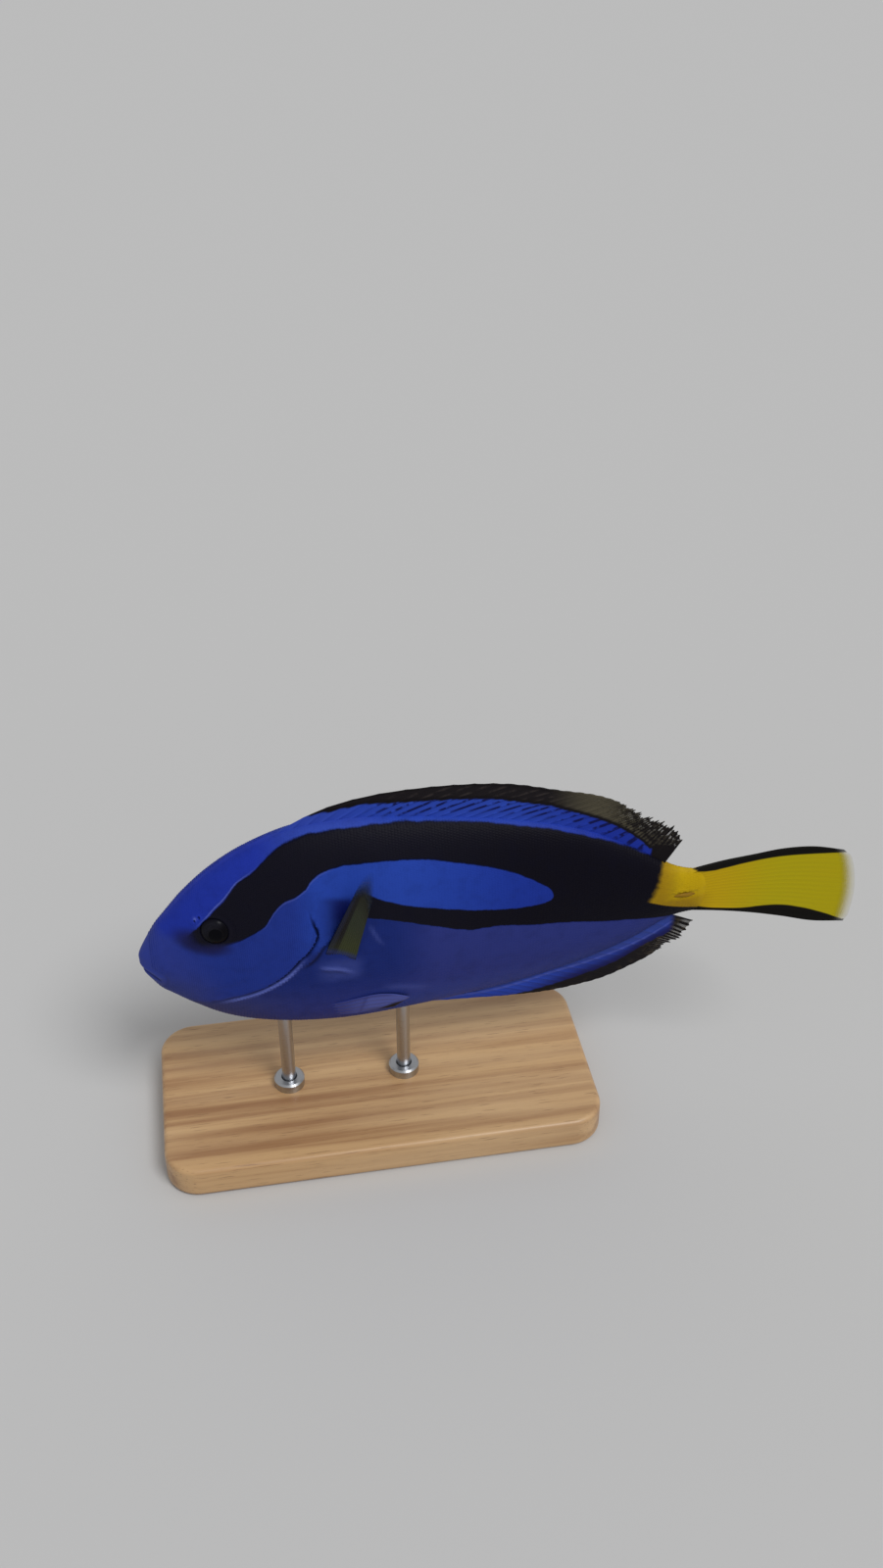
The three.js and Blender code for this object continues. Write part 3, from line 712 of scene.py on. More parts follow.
# %% [markdown]
# ## The skin's finish
#
# Paint on a museum cast is laid in thin coats: first the ground blues, then the black band, then the
# yellow. The finish does the same, one mask after another. A little noise keeps every border from being
# ruled, and a fine grain stands for what is smaller than the modelled scales.

# %% The ground blues
EDGE = 0.0016  # half the softness of a border, in shares
SOFT_EDGE = 0.012


def near_line(distance, reach):
    """1 on a line and 0 from the reach on."""
    return abs(distance).rise(reach, reach * 0.25)


def paint_ground(finish, at, up):
    """The blues of the head, the flank and the belly."""
    crown = finish.coats(
        CROWN_BLUE,
        (at.rise(0.2, 0.29), NAPE_BLUE),
        (at.rise(0.36, 0.46), STRIPE_BLUE),
        (at.rise(0.62, 0.84), STRIPE_REAR_BLUE),
    )
    belly = finish.coats(
        SHOULDER_BLUE,
        (at.rise(0.42, 0.52), BELLY_BLUE),
        (up.rise(-0.06, -0.17), BELLY_BLUE),
        (up.rise(-0.1, -0.19) * at.rise(0.34, 0.42), LOW_BLUE),
        (at.rise(0.3, 0.12) * up.rise(-0.07, -0.14), THROAT_BLUE),
    )
    snout = (at + up * FACE_SLANT).rise(0.13, 0.04)
    upper = up.over(finish.line(at, BAND_TOP), SOFT_EDGE)
    shoulder = at.rise(0.345, 0.295) * up.rise(-0.015, 0.015)
    under_head = up.under(finish.line(at, BELLY_TOP), SOFT_EDGE * 0.6) * at.rise(0.39, 0.375)
    under_arm = up.under(finish.line(at, ARM_FOOT), SOFT_EDGE * 0.2) * at.rise(0.375, 0.39)
    breast = at.between(0.285, 0.325, 0.355, 0.385) * up.between(-0.088, -0.062, -0.042, -0.015)
    chin = at.rise(0.15, 0.06) * up.rise(-0.035, -0.09)
    # A soft dark spot just ahead of the pectoral fin: its painted shadow on the flank.
    shade = near_line(up - 0.076, 0.03) * near_line(at - 0.35, 0.034)
    return finish.coats(
        OVAL_BLUE,
        (at.rise(0.42, 0.7), OVAL_REAR_BLUE),
        (at.rise(0.315, 0.25), CHEEK_BLUE),
        (snout * 0.8, SNOUT_BLUE),
        (upper, crown),
        (under_head * (1 - shoulder * 0.8) + under_arm, belly),
        (breast * 0.18, PALE_BLUE),
        (chin * 0.5, THROAT_BLUE),
        (shade * 0.7, SHADE_BLUE),
    )


# %% The band and the oval
def paint_body(finish, at, up, place):
    """The blues with the band and the oval, which the skin and the scales share."""
    up = up + (finish.noise(place, 55, 3) - 0.5) * 0.0045
    above_top = up - finish.line(at, BAND_TOP)
    above_foot = up - finish.line(at, BAND_FOOT)
    above_arm = up.over(finish.line(at, ARM_FOOT), EDGE)
    before_end = at.rise(OVAL_END + 0.001, OVAL_END)
    past_end = at.rise(OVAL_END, OVAL_END + 0.001)

    brow_rim = near_line(above_top - 0.0035, 0.0027) * at.between(0.095, 0.13, 0.16, 0.22)
    nape_rim = near_line(above_foot + 0.004, 0.0035) * at.between(0.2, 0.23, 0.31, 0.34)

    ahead, higher = at - DUSK_AT, up - DUSK_UP
    along = ahead * DUSK_COS - higher * DUSK_SIN
    across = ahead * DUSK_SIN + higher * DUSK_COS
    from_dusk = (along * along / DUSK_LONG**2 + across * across / DUSK_SHORT**2) ** 0.5

    foot_soft = at.rise(0.175, 0.11) * 0.009 + EDGE
    upper = above_top.rise(EDGE, -EDGE)
    band = upper * above_foot.rise(foot_soft * -1, foot_soft) * before_end
    arm = up.under(finish.line(at, OVAL_FOOT), EDGE) * above_arm * before_end
    arm = arm * (at - abs(up - ARM_UP) * 0.7).rise(ARM_FROM, ARM_FROM + 0.01)
    rear = (upper | at.rise(STRIPE_END, STRIPE_END + 0.004)) * above_arm * past_end
    face = (at + up * FACE_SLANT).rise(0.088, 0.116)
    foot_line = near_line(above_foot, 0.0042) * at.rise(OVAL_END, OVAL_END - 0.002)
    outline = near_line(above_top, 0.0042) | foot_line

    return finish.coats(
        paint_ground(finish, at, up),
        (brow_rim * 0.5 + nape_rim * 0.2, PALE_BLUE),
        (from_dusk.rise(1.2, 0.5) * 0.85, DUSKY_BLUE),
        (outline * at.between(0.13, 0.18, 0.85, 0.9), LINE_BLACK),
        ((band + rear + arm & 1) * face, finish.mix(at.rise(0.4, 0.72), BAND_BLACK, DEEP_BLACK)),
    )


# %% The yellow tail
def paint_tail(finish, paint, at, up, place):
    """The yellow tail between its black strips, laid over other paint."""
    front = finish.line(up, YELLOW_FRONT) + (finish.noise(place, 90, 3) - 0.5) * 0.012
    top = finish.line(at, YELLOW_TOP)
    foot = finish.line(at, YELLOW_FOOT)
    above_belly = up.over(finish.line(at, ARM_FOOT), EDGE) | at.rise(0.945, 0.955)
    strip = at.over(front - 0.007, EDGE) * up.under(top + 0.02, EDGE) * above_belly
    inside = at.over(front, 0.0075) * up.under(top, EDGE) * up.over(foot, EDGE)
    # Ochre along the front edge of the yellow, and over the lower half of the tail's root as painted shade
    # where it curves under.
    ochre_front_and_under_shade = at.rise(0.95, 0.912) | up.rise(0.002, -0.012) * at.rise(1.02, 0.96)
    yellow = finish.coats(TAIL_ORANGE, (at.rise(1.0, 1.13), TAIL_YELLOW), (ochre_front_and_under_shade * 0.6, TAIL_OCHRE))
    return finish.coats(paint, (strip, DEEP_BLACK), (inside, yellow))


# %% Skin finish
GRAIN_DEPTH = 0.03 * MM
GRAIN_STRENGTH = 0.5

skin = Finish("skin", Roughness=0.5, Specular_IOR_Level=0.08)
place, at, up, _ = skin.read("place")
mottle = skin.noise(place, 38, 4, 0.6).rise(0.42, 0.75)
paint = skin.coats(
    paint_tail(skin, paint_body(skin, at, up, place), at, up, place),
    (mottle * 0.14, LINE_BLACK),
    # Painted highlights along the folds, lips and rims, and painted shade in the creases, the socket and the
    # nostrils.
    (skin.read_one("pale") * 0.75, PALE_BLUE),
    (skin.read_one("crease"), LINE_BLACK),
)
skin.feed("Base Color", paint)
skin.bump(skin.noise(place, 700, 3), GRAIN_DEPTH, GRAIN_STRENGTH)
print("skin finish:", len(skin.tree.nodes), "nodes")

# %% [markdown]
# ## Maps for baking
#
# A game engine reads no node network, so the colours are baked into an image when the model is exported,
# and each piece needs a flat layout to bake through. For the skin this is the two flanks unrolled one over
# the other: along the body one way, and round the body, by the length of the skin, the other way.

# %% The skin's layout
SWINGS = np.linspace(-math.pi / 2, math.pi / 2, 121)
MAP_STATIONS = np.linspace(0, 1, 401)
MAP_EDGE = 0.01
FLANK_MIDDLES = (0.25, 0.75)  # left, right
FLANK_REACH = 0.24


def girth_walk(at):
    """Lengths round one flank from its widest line, at each of the swings up or down."""
    points = on_skin(at, SWINGS)
    walked = np.r_[0, np.cumsum(np.linalg.norm(np.diff(points, axis=0), axis=1))]
    return walked - walked[len(SWINGS) // 2]


GIRTHS = np.array([girth_walk(at) for at in MAP_STATIONS])
MOST_GIRTH = np.abs(GIRTHS).max()
print("longest way from the widest line:", round(MOST_GIRTH / MM), "mm")


def girth_at(at, swing):
    """The length round the flank up to any point, read from the table between its four nearest entries."""
    row = np.clip(at, 0, 1) * (len(MAP_STATIONS) - 1)
    column = (swing / math.pi + 0.5) * (len(SWINGS) - 1)
    i = np.clip(row.astype(int), 0, len(MAP_STATIONS) - 2)
    j = np.clip(column.astype(int), 0, len(SWINGS) - 2)
    down, across = row - i, column - j
    near = GIRTHS[i, j] * (1 - across) + GIRTHS[i, j + 1] * across
    far = GIRTHS[i + 1, j] * (1 - across) + GIRTHS[i + 1, j + 1] * across
    return near * (1 - down) + far * down


# %% The skin as a piece
SKIN_NODES = ("head", "trunk", "lower_jaw", "tail_root", "gill_cover_left", "gill_cover_right")


def add_bake_map(piece, places):
    """Writes the layout that the colours are baked through, one place for each face corner."""
    layout = piece.data.uv_layers.new(name="OFBake")
    layout.uv.foreach_set("vector", np.asarray(places, np.float32).ravel())


def corners(piece):
    """The vertex and the face of each face corner."""
    mesh = piece.data
    vertex = np.empty(len(mesh.loops), np.int32)
    mesh.loops.foreach_get("vertex_index", vertex)
    sides = np.empty(len(mesh.polygons), np.int32)
    mesh.polygons.foreach_get("loop_total", sides)
    return vertex, np.repeat(np.arange(len(sides)), sides)


def inside_edge(share):
    """From 0 to 1 across the layout, apart from a thin edge."""
    return MAP_EDGE + (1 - 2 * MAP_EDGE) * share


skin_piece = finish_piece("skin", bm, skin.material, "skin", *SKIN_NODES)
write_attribute(skin_piece, "place", side_place)
# The painted shade in creases and the painted highlight along ridges, which the finish reads.
write_attribute(skin_piece, "crease", crease)
write_attribute(skin_piece, "pale", pale)

vertex, face = corners(skin_piece)
on_right = np.bincount(face, side_place[vertex, 2]) > 0
round_flank = girth_at(skin_at, np.arcsin(np.clip(np.sin(skin_angle), -1, 1))) / MOST_GIRTH
middle = np.take(FLANK_MIDDLES, on_right[face].astype(int))
layout = [inside_edge(skin_at[vertex]), middle + FLANK_REACH * round_flank[vertex]]
add_bake_map(skin_piece, np.stack(layout, axis=-1))

# %% [markdown]
# ## The scales
#
# A blue tang's scales are minute, so its skin looks like fine velvet. Each one here is a thin closed tile
# of six rim points and a raised middle, sunk into the skin at its front and proud of it at its rear, so
# that the rows overlap like roof tiles towards the tail. They are laid in rows along the body, every other
# column shifted by half a scale, and are smaller on the head. Tens of thousands of equal tiles are best
# made as one array per side and zone, and each tile gets a small patch of the baking layout at its root.

# %% Rows of scales
SCALE_TILE = [
    # along, across, both as shares of the pitch, and how proud, as a share of the scales' depth
    (-0.6, 0, -0.35), (-0.22, 0.5, 0.1), (0.32, 0.46, 0.45), (0.62, 0, 0.8), (0.32, -0.46, 0.45),
    (-0.22, -0.5, 0.1), (0.12, 0, 0.78),
]  # fmt: skip
TILE_FACES = [(i, (i + 1) % 6, 6) for i in range(6)] + [(5, 4, 3, 2, 1, 0)]
SCALE_ZONES = {
    # spacing along the body, spacing of the rows, and the first and last station
    "head": (0.56 * MM, 0.5 * MM, 0.02, 0.34),
    "body": (0.84 * MM, 0.7 * MM, 0.1, 0.986),
}
SIDES = {"left": -1, "right": 1}
PATCH = 0.0024  # a tile's size on the layout, for each unit of the table above
KEEL_CLEAR = 0.05
CREASE_CLEAR = 0.12
EYE_CLEAR = 4.6 * MM
LIPS_CLEAR = 2.6 * MM
NOSTRIL_CLEAR = 2.2  # in nostril radii
PECTORAL_CLEAR = 3.5 * MM


def scale_rows(pitch, tall, first, last):
    """Share along the body and swing up or down the flank of each scale between two stations."""
    stations = np.arange(first, last, pitch / STANDARD_LENGTH)
    rows = []
    for column, at in enumerate(stations):
        walked = girth_walk(at)
        shift = column % 2 / 2
        steps = np.arange(math.ceil(walked[0] / tall), math.floor(walked[-1] / tall)) + shift
        swing = np.interp(steps * tall, walked, SWINGS)
        rows.append(np.stack([at + 0 * swing, swing], axis=-1))
    at, swing = np.concatenate(rows).T
    clear = np.abs(swing) < math.pi / 2 - KEEL_CLEAR
    return at[clear], swing[clear]


def in_zone(zone, behind, above, crease):
    """Scales ahead of the gill cover's edge are the head's. None lie on the eye, the lips or the nostrils."""
    edge = np.interp(above, GILL_EDGE.points[::-1, 1], GILL_EDGE.points[::-1, 0])
    keep = (behind < edge) == (zone == "head")
    keep &= crease < CREASE_CLEAR
    keep &= from_point(behind, above, EYE_AT, EYE_UP) > EYE_CLEAR
    keep &= np.abs(MOUTH_LINE.near(behind, above, 2 * LIPS_CLEAR)[0]) > LIPS_CLEAR
    for at, up, radius in NOSTRILS:
        keep &= from_point(behind, above, at, up) > NOSTRIL_CLEAR * radius
    return keep & (from_point(behind, above, *PECTORAL_ROOT) > PECTORAL_CLEAR)


# %% Scales
SCALE_SIZES = (0.92, 1.08)
SCALE_TILTS = (0.6, 1.1)
SCALE_NUDGES = (-0.1, 0.1)
SCALE_SEED = 5
STEP_ALONG, STEP_ROUND = 0.002, 0.01  # to its neighbours, from which a tile takes its slope


def unit(vectors):
    return vectors / np.linalg.norm(vectors, axis=-1, keepdims=True)


def way_out(at, angle, side):
    """The directions back, up and out on the skin at each root."""
    back = unit(on_skin(at + STEP_ALONG, angle) - on_skin(at - STEP_ALONG, angle))
    turn = STEP_ROUND * side
    round_body = on_skin(at, angle + turn) - on_skin(at, angle - turn)
    out = unit(np.cross(back, round_body))
    out *= side * np.sign(out[:, 1:2])
    return back, np.cross(out, back), out


def scale_coat(zone, name, side):
    """All scales of one zone on one side, as one piece."""
    pitch, tall, first, last = SCALE_ZONES[zone]
    at, swing = scale_rows(pitch, tall, first, last)
    angle = swing if side > 0 else math.pi - swing
    root = on_skin(at, angle)
    height, crease, pale = relief_at(root[:, 0], root[:, 2])
    keep = in_zone(zone, root[:, 0], root[:, 2], crease)
    at, swing, angle, root = at[keep], swing[keep], angle[keep], root[keep]
    height, crease, pale = height[keep], crease[keep], pale[keep]
    back, up, out = way_out(at, angle, side)

    chance = np.random.default_rng(SCALE_SEED)
    size = chance.uniform(*SCALE_SIZES, (len(at), 1))
    tilt = chance.uniform(*SCALE_TILTS, (len(at), 1))
    nudge = chance.uniform(*SCALE_NUDGES, (2, len(at), 1))
    along, across, proud = np.array(SCALE_TILE).T[..., None, None]
    lift = height[:, None] + proud * SCALE_DEPTH * tilt
    tiles = root + back * (along * size + nudge[0]) * pitch + out * lift
    tiles += up * (across * size + nudge[1]) * tall
    tiles = tiles.transpose(1, 0, 2).reshape(-1, 3)
    points = len(SCALE_TILE)
    faces = [[base + k for k in face] for base in range(0, len(tiles), points) for face in TILE_FACES]

    mesh = bpy.data.meshes.new(name)
    mesh.from_pydata(posed(*tiles.T), [], faces)
    bm = bmesh.new()
    bm.from_mesh(mesh)
    bpy.data.meshes.remove(mesh)
    bmesh.ops.recalc_face_normals(bm, faces=bm.faces[:])
    piece = finish_piece(name, bm, skin.material, "skin", smooth=False)
    write_attribute(piece, "place", tiles[:, [0, 2, 1]] / STANDARD_LENGTH)
    # Each scale takes the skin's painted shade and painted highlight at its root.
    write_attribute(piece, "crease", np.repeat(crease, points))
    write_attribute(piece, "pale", np.repeat(pale, points))

    round_flank = 0.5 + 0.5 * girth_at(at, swing) / MOST_GIRTH
    middle = np.stack([(at - first) / (last - first), round_flank], axis=-1)
    patch = np.array(SCALE_TILE)[:, :2] * PATCH
    layout = (inside_edge(middle[:, None]) + patch).reshape(-1, 2)
    add_bake_map(piece, layout[corners(piece)[0]])


for side_name, side in SIDES.items():
    for zone in SCALE_ZONES:
        scale_coat(zone, f"scales_{zone}_{side_name}", side)

# %% [markdown]
# ## Fins
#
# A fin is a thin membrane stretched over bony rays. Each one starts as a flat grid with a thickness. Its
# two directions are the way over the fin, from the first ray to the last, and the way out, from root to
# tip. One function lays the grid in place, and another gives its thickness: thin between the rays, thicker
# on them. Past the middle the soft rays fork. The margin is drawn in between the rays' tips, and near the
# rear ends of the long fins the photograph shows it ragged.


# %% Fin mesh
FORK_FROM = 0.4
FORK_SPREAD = 0.2
RAY_WIDTH = 0.16
RAY_TAPER = 0.05
FACE_ON_MAP = 0.48  # each face's share of the layout
FAR_FACE_AT = 0.52
RIM_DRAWN_IN = 0.99
SCALLOP = 0.7  # below 1, the margin's bays are wide and its tips are sharp


def ray_relief(over, out, rays, spines=0):
    """How far the rays stand out, from 0 to 1. The first ones are spines, which don't fork."""
    count = over * rays
    gap = np.abs(count - np.round(count))
    fork = FORK_SPREAD * rise(out, FORK_FROM, 1.0) * (count > spines)
    return hump(np.abs(gap - fork), RAY_WIDTH - RAY_TAPER * out)


def fin_thickness(over, out, rays, spines=0, root=0, fade=2, film=0.22, ray=0.4, taper=0.6):
    """A membrane that is thicker at its root, with rays that grow thinner on the way out. Sizes in mm."""
    membrane = root * (1 - out) ** fade + film
    return (membrane + ray * (1 - taper * out) * ray_relief(over, out, rays, spines)) * MM


def fin_bake_map(piece, over, out, far_side):
    """Both faces of the fin, one over the other. The rims take their colours from the first face's edge.

    A rim's faces are those with corners on both sides of the fin.
    """
    vertex, face = corners(piece)
    on_far = far_side[vertex]
    share = np.bincount(face, on_far) / np.bincount(face)
    rim = np.abs(share - 0.5)[face] < 0.4
    up_map = out[vertex] * FACE_ON_MAP + np.where(rim, 0, FAR_FACE_AT * on_far)
    place = np.stack([over[vertex], up_map], axis=-1)
    drawn_in = np.where(rim & (on_far > 0.5), RIM_DRAWN_IN, 1)
    middle = np.array([0.5, FACE_ON_MAP / 2])
    add_bake_map(piece, middle + (place - middle) * drawn_in[:, None])


# %% A fin as a piece
def fin_piece(name, finish, slot, node, rays, per_ray, rows, lay, thickness):
    """lay(over, out) gives places (behind, right, above) and the direction of the fin's thickness."""
    bm = bmesh.new()
    bmesh.ops.create_grid(bm, x_segments=rays * per_ray, y_segments=rows, size=0.5)
    extruded = bmesh.ops.extrude_face_region(bm, geom=bm.faces[:])
    top = [part for part in extruded["geom"] if isinstance(part, bmesh.types.BMVert)]
    bmesh.ops.translate(bm, verts=top, vec=(0, 0, 1))
    flat = np.array([v.co for v in bm.verts])
    over, out, far_side = flat[:, 0] + 0.5, flat[:, 1] + 0.5, flat[:, 2]
    middle, way = lay(over, out)
    straight = middle + way * (thickness(over, out) * (far_side - 0.5))[:, None]
    place_vertices(bm, posed(*straight.T))
    bmesh.ops.recalc_face_normals(bm, faces=bm.faces[:])
    if bm.calc_volume(signed=True) < 0:
        bmesh.ops.reverse_faces(bm, faces=bm.faces[:])
    piece = finish_piece(name, bm, finish.material, slot, node)
    write_attribute(piece, "place", straight[:, [0, 2, 1]] / STANDARD_LENGTH)
    write_attribute(piece, "fin", np.stack([over, out, over * rays], axis=-1))
    fin_bake_map(piece, over, out, far_side)
    return piece


def margin(over, rays, depth, ragged=0.0, seed=0):
    """Where the margin lies: full at each ray's tip and drawn in between, by more where it is ragged."""
    count = over * rays
    tips = 1 - ragged * np.random.default_rng(seed).random(rays + 1)
    low = np.clip(np.floor(count).astype(int), 0, rays - 1)
    tip = tips[low] + (tips[low + 1] - tips[low]) * rise(count - low, 0, 1)
    return tip * (1 - depth * np.abs(np.sin(math.pi * count)) ** SCALLOP)


# %% [markdown]
# ### The long fins of the back and the belly
#
# Both are half lowered, so that their rays lie back at a low angle. Their roots run along the keels, a
# little inside the skin. One table gives the fin's margin, and the lean says how far behind its root each
# ray's tip lies. In front the margin is smooth. Towards the rear the membrane is torn back between the
# rays, whose tips stand out as dark strands.

# %% Long fins
BACK_FIN = {
    "rays": 28, "spines": 9, "from": 0.24, "to": 0.915, "ragged": (0.62, 0.9),
    "lean": [
        (0, 0.012), (0.1, 0.06), (0.22, 0.125), (0.35, 0.16), (0.5, 0.165), (0.65, 0.14), (0.8, 0.095),
        (0.9, 0.062), (1, 0.032),
    ],
    "margin": [
        (0.252, 0.2005), (0.28, 0.216), (0.31, 0.23), (0.345, 0.242), (0.39, 0.2515), (0.446, 0.2575),
        (0.538, 0.2588), (0.64, 0.25), (0.728, 0.2285), (0.79, 0.214), (0.8426, 0.1915), (0.8795, 0.168),
        (0.905, 0.156), (0.925, 0.1465), (0.94, 0.132), (0.9475, 0.113),
    ],
}  # fmt: skip
BELLY_FIN = {
    "rays": 21, "spines": 3, "from": 0.475, "to": 0.93, "ragged": (0.72, 0.92),
    "lean": [(0, 0.022), (0.15, 0.07), (0.3, 0.1), (0.5, 0.11), (0.75, 0.095), (0.9, 0.07), (1, 0.056)],
    "margin": [
        (0.497, -0.2205), (0.57, -0.2252), (0.645, -0.2288), (0.725, -0.226), (0.8, -0.2105),
        (0.835, -0.1975), (0.8684, -0.179), (0.9032, -0.157), (0.9369, -0.1315), (0.958, -0.1165),
        (0.974, -0.101), (0.9865, -0.073),
    ],
}  # fmt: skip
STRANDS = 3
STRAND_DEPTH, STRAND_RAGGED = 0.07, 0.16
RAY_DEPTH = 0.012
ROOT_BURIED = 1.2 * MM
RAY_STEPS = 12
OUTWARD_STEPS = 36
UPRIGHT = np.array([0.0, 1.0, 0.0])


def long_fin(name, finish, fin, edge_at, inward, seed):
    rays = fin["rays"]

    def lay(over, out):
        at = fin["from"] + (fin["to"] - fin["from"]) * over
        root = np.stack([at * STANDARD_LENGTH, 0 * at, edge_at(at) + inward * ROOT_BURIED], axis=-1)
        tip_at = at + smooth_at(fin["lean"], 1, over)
        tip = np.stack([tip_at, 0 * over, smooth_at(fin["margin"], 1, tip_at)], axis=-1) * STANDARD_LENGTH
        whole = 1.0 - RAY_DEPTH * np.abs(np.sin(math.pi * over * rays))
        torn = margin(over, STRANDS * rays, STRAND_DEPTH, STRAND_RAGGED, seed)
        reach = whole + rise(over, *fin["ragged"]) * (torn - whole)
        return root + (tip - root) * (out * reach)[:, None], UPRIGHT

    def thickness(over, out):
        return fin_thickness(over, out, rays, fin["spines"], root=0.7, taper=0.55)

    return fin_piece(name, finish, "blue_fin", name, rays, RAY_STEPS, OUTWARD_STEPS, lay, thickness)


# %% Rays and grain in a fin's finish
def ray_gap(ray):
    """The distance from the nearest ray, as a share of the rays' spacing."""
    shifted = ray + 0.5
    return abs(shifted.maths("FRACT", shifted) - 0.5)


def grain(finish, place, *stretch):
    """A fine relief all over a fin."""
    finish.bump(finish.noise(finish.stretch(place, *stretch), 3, 2), GRAIN_DEPTH, GRAIN_STRENGTH)


# %% The fin of the back
STREAK_BLUE = srgb(8, 8, 62)
MEMBRANE_DARK = srgb(26, 22, 25)
MEMBRANE_PALE = srgb(52, 46, 45)

dorsal = Finish("dorsal_fin", Roughness=0.5, Specular_IOR_Level=0.1)
place, at, up, _ = dorsal.read("place")
_, _, out, ray = dorsal.read("fin")
gap, strand = ray_gap(ray), ray_gap(ray * STRANDS)
blotches, locks = dorsal.noise(place, 60, 3), dorsal.noise(place, 110, 2)
beyond = up - dorsal.line(at, DORSAL_BORDER)
rear = at.rise(0.7, 0.79)

streaks = gap.rise(0.26, 0.13) * beyond.rise(-0.034, -0.016) * at.rise(0.38, 0.44) * blotches.rise(0.36, 0.52)
paint = dorsal.coats(
    NAPE_BLUE,
    (at.rise(0.28, 0.42), STRIPE_BLUE),
    (at.rise(0.62, 0.84), STRIPE_REAR_BLUE),
    (streaks * 0.9, STREAK_BLUE),
)

pale_lines = gap.rise(0.24, 0.1) * blotches.rise(0.42, 0.6) * at.rise(0.4, 0.5)
dark_strands = strand.rise(0.3, 0.16) * (0.25 + at.rise(0.8, 0.87) * 0.5)
dark_locks = locks.rise(0.44, 0.58) * at.rise(0.8, 0.86) * 0.8
membrane = dorsal.coats(
    MEMBRANE_DARK,
    (pale_lines * 0.75, MEMBRANE_PALE),
    (out.rise(0.9, 0.985), FIN_BLACK),
    (rear, dorsal.coats(
        FIN_OLIVE,
        (at.rise(0.84, 0.89) * 0.6, FIN_DARK),
        (dark_strands + dark_locks & 1, FIN_BLACK),
    )),
    (beyond.rise(0.011, 0.004) | at.rise(0.37, 0.3), FIN_BLACK),
)  # fmt: skip

border = (beyond + (blotches - 0.5) * 0.004 - (0.25 - gap) * 0.006 * (1 - rear)).rise(-EDGE, EDGE * 1.6)
border = border | at.rise(STRIPE_END, STRIPE_END + 0.004)
thin = border * at.rise(0.74, 0.9) * out.rise(0.5, 0.85) * strand.rise(0.12, 0.32) * locks.rise(0.56, 0.4)
dorsal.feed("Base Color", dorsal.mix(border, paint, membrane))
dorsal.feed("Alpha", 1 - thin * 0.7)
grain(dorsal, place, 300, 300, 300)
long_fin("fin_dorsal", dorsal, BACK_FIN, back_at, -1, seed=4)

# %% The fin of the belly
MARGIN_BLUE = srgb(24, 26, 84)
MEMBRANE_BLACK = srgb(22, 19, 23)

anal = Finish("anal_fin", Roughness=0.5, Specular_IOR_Level=0.1)
place, at, up, _ = anal.read("place")
_, _, out, ray = anal.read("fin")
strand = ray_gap(ray * STRANDS)
blotches = anal.noise(place, 60, 3)
patches = blotches.rise(0.5, 0.62)
line = anal.line(at, ANAL_LINE)
beyond = anal.line(at, ANAL_BORDER) - up
rearward = at.rise(0.66, 0.8)

stripe = anal.coats(
    STRIPE_BLUE,
    (rearward, ANAL_BLUE),
    (beyond.rise(-0.024, -0.002) * (0.4 + rearward * 0.6), MARGIN_BLUE),
    (near_line(up - line + 0.0045, 0.0045) * 0.3, PALE_BLUE),
)
paint = anal.coats(
    LOW_BLUE,
    (up.under(line, EDGE * 0.6), stripe),
    (near_line(up - line - 0.001, 0.0036) * at.rise(0.62, 0.56) * 0.6, LINE_BLACK),
)
rear_membrane = anal.mix(strand.rise(0.28, 0.14) * 0.6 + (1 - patches) * 0.6 & 1, FIN_BROWN, FIN_BLACK)
membrane = anal.coats(
    MEMBRANE_BLACK,
    (out.rise(0.8, 0.95) * patches * at.rise(0.6, 0.75) * 0.35, FIN_BROWN),
    (at.rise(0.86, 0.93), rear_membrane),
)
border = (beyond + (blotches - 0.5) * 0.005).rise(-EDGE, EDGE * 1.6) | at.rise(0.935, 0.95)
thin = border * at.rise(0.88, 0.95) * out.rise(0.5, 0.85) * strand.rise(0.12, 0.32)
anal.feed("Base Color", anal.mix(border, paint, membrane))
anal.feed("Alpha", 1 - thin * 0.5)
grain(anal, place, 300, 300, 300)
long_fin("fin_anal", anal, BELLY_FIN, belly_at, 1, seed=9)

# %% [markdown]
# ### The tail fin
#
# The tail fin is nearly closed, with a straight hind margin. Its upper and lower edges are given from root
# to tip, and its reach from the top to the bottom of the margin.

# %% Tail fin
TAIL_ROOT = 0.97
TAIL_RAYS = 16
TAIL_RAY_STEPS = 16
TAIL_OUTWARD_STEPS = 48
TAIL_EDGES = [
    # share of the way out, top, bottom
    (0, 0.0425, -0.0425), (0.2, 0.0605, -0.0462), (0.4, 0.075, -0.052), (0.6, 0.0895, -0.0605),
    (0.8, 0.0955, -0.0702), (1, 0.0905, -0.069),
]  # fmt: skip
TAIL_REACH = [(0, 1.228), (0.1, 1.244), (0.5, 1.258), (0.9, 1.256), (1, 1.249)]


def lay_tail(over, out):
    top, bottom = smooth_at(TAIL_EDGES, 1, out), smooth_at(TAIL_EDGES, 2, out)
    reach = smooth_at(TAIL_REACH, 1, over) - TAIL_ROOT
    place = [TAIL_ROOT + reach * out, 0 * over, top + (bottom - top) * over]
    return np.stack(place, axis=-1) * STANDARD_LENGTH, UPRIGHT


def tail_thickness(over, out):
    edge = 0.4 * MM * rise(np.abs(over - 0.5), 0.38, 0.48) * (1 - out)
    return edge + fin_thickness(over, out, TAIL_RAYS, root=1.3, film=0.3, ray=0.1)


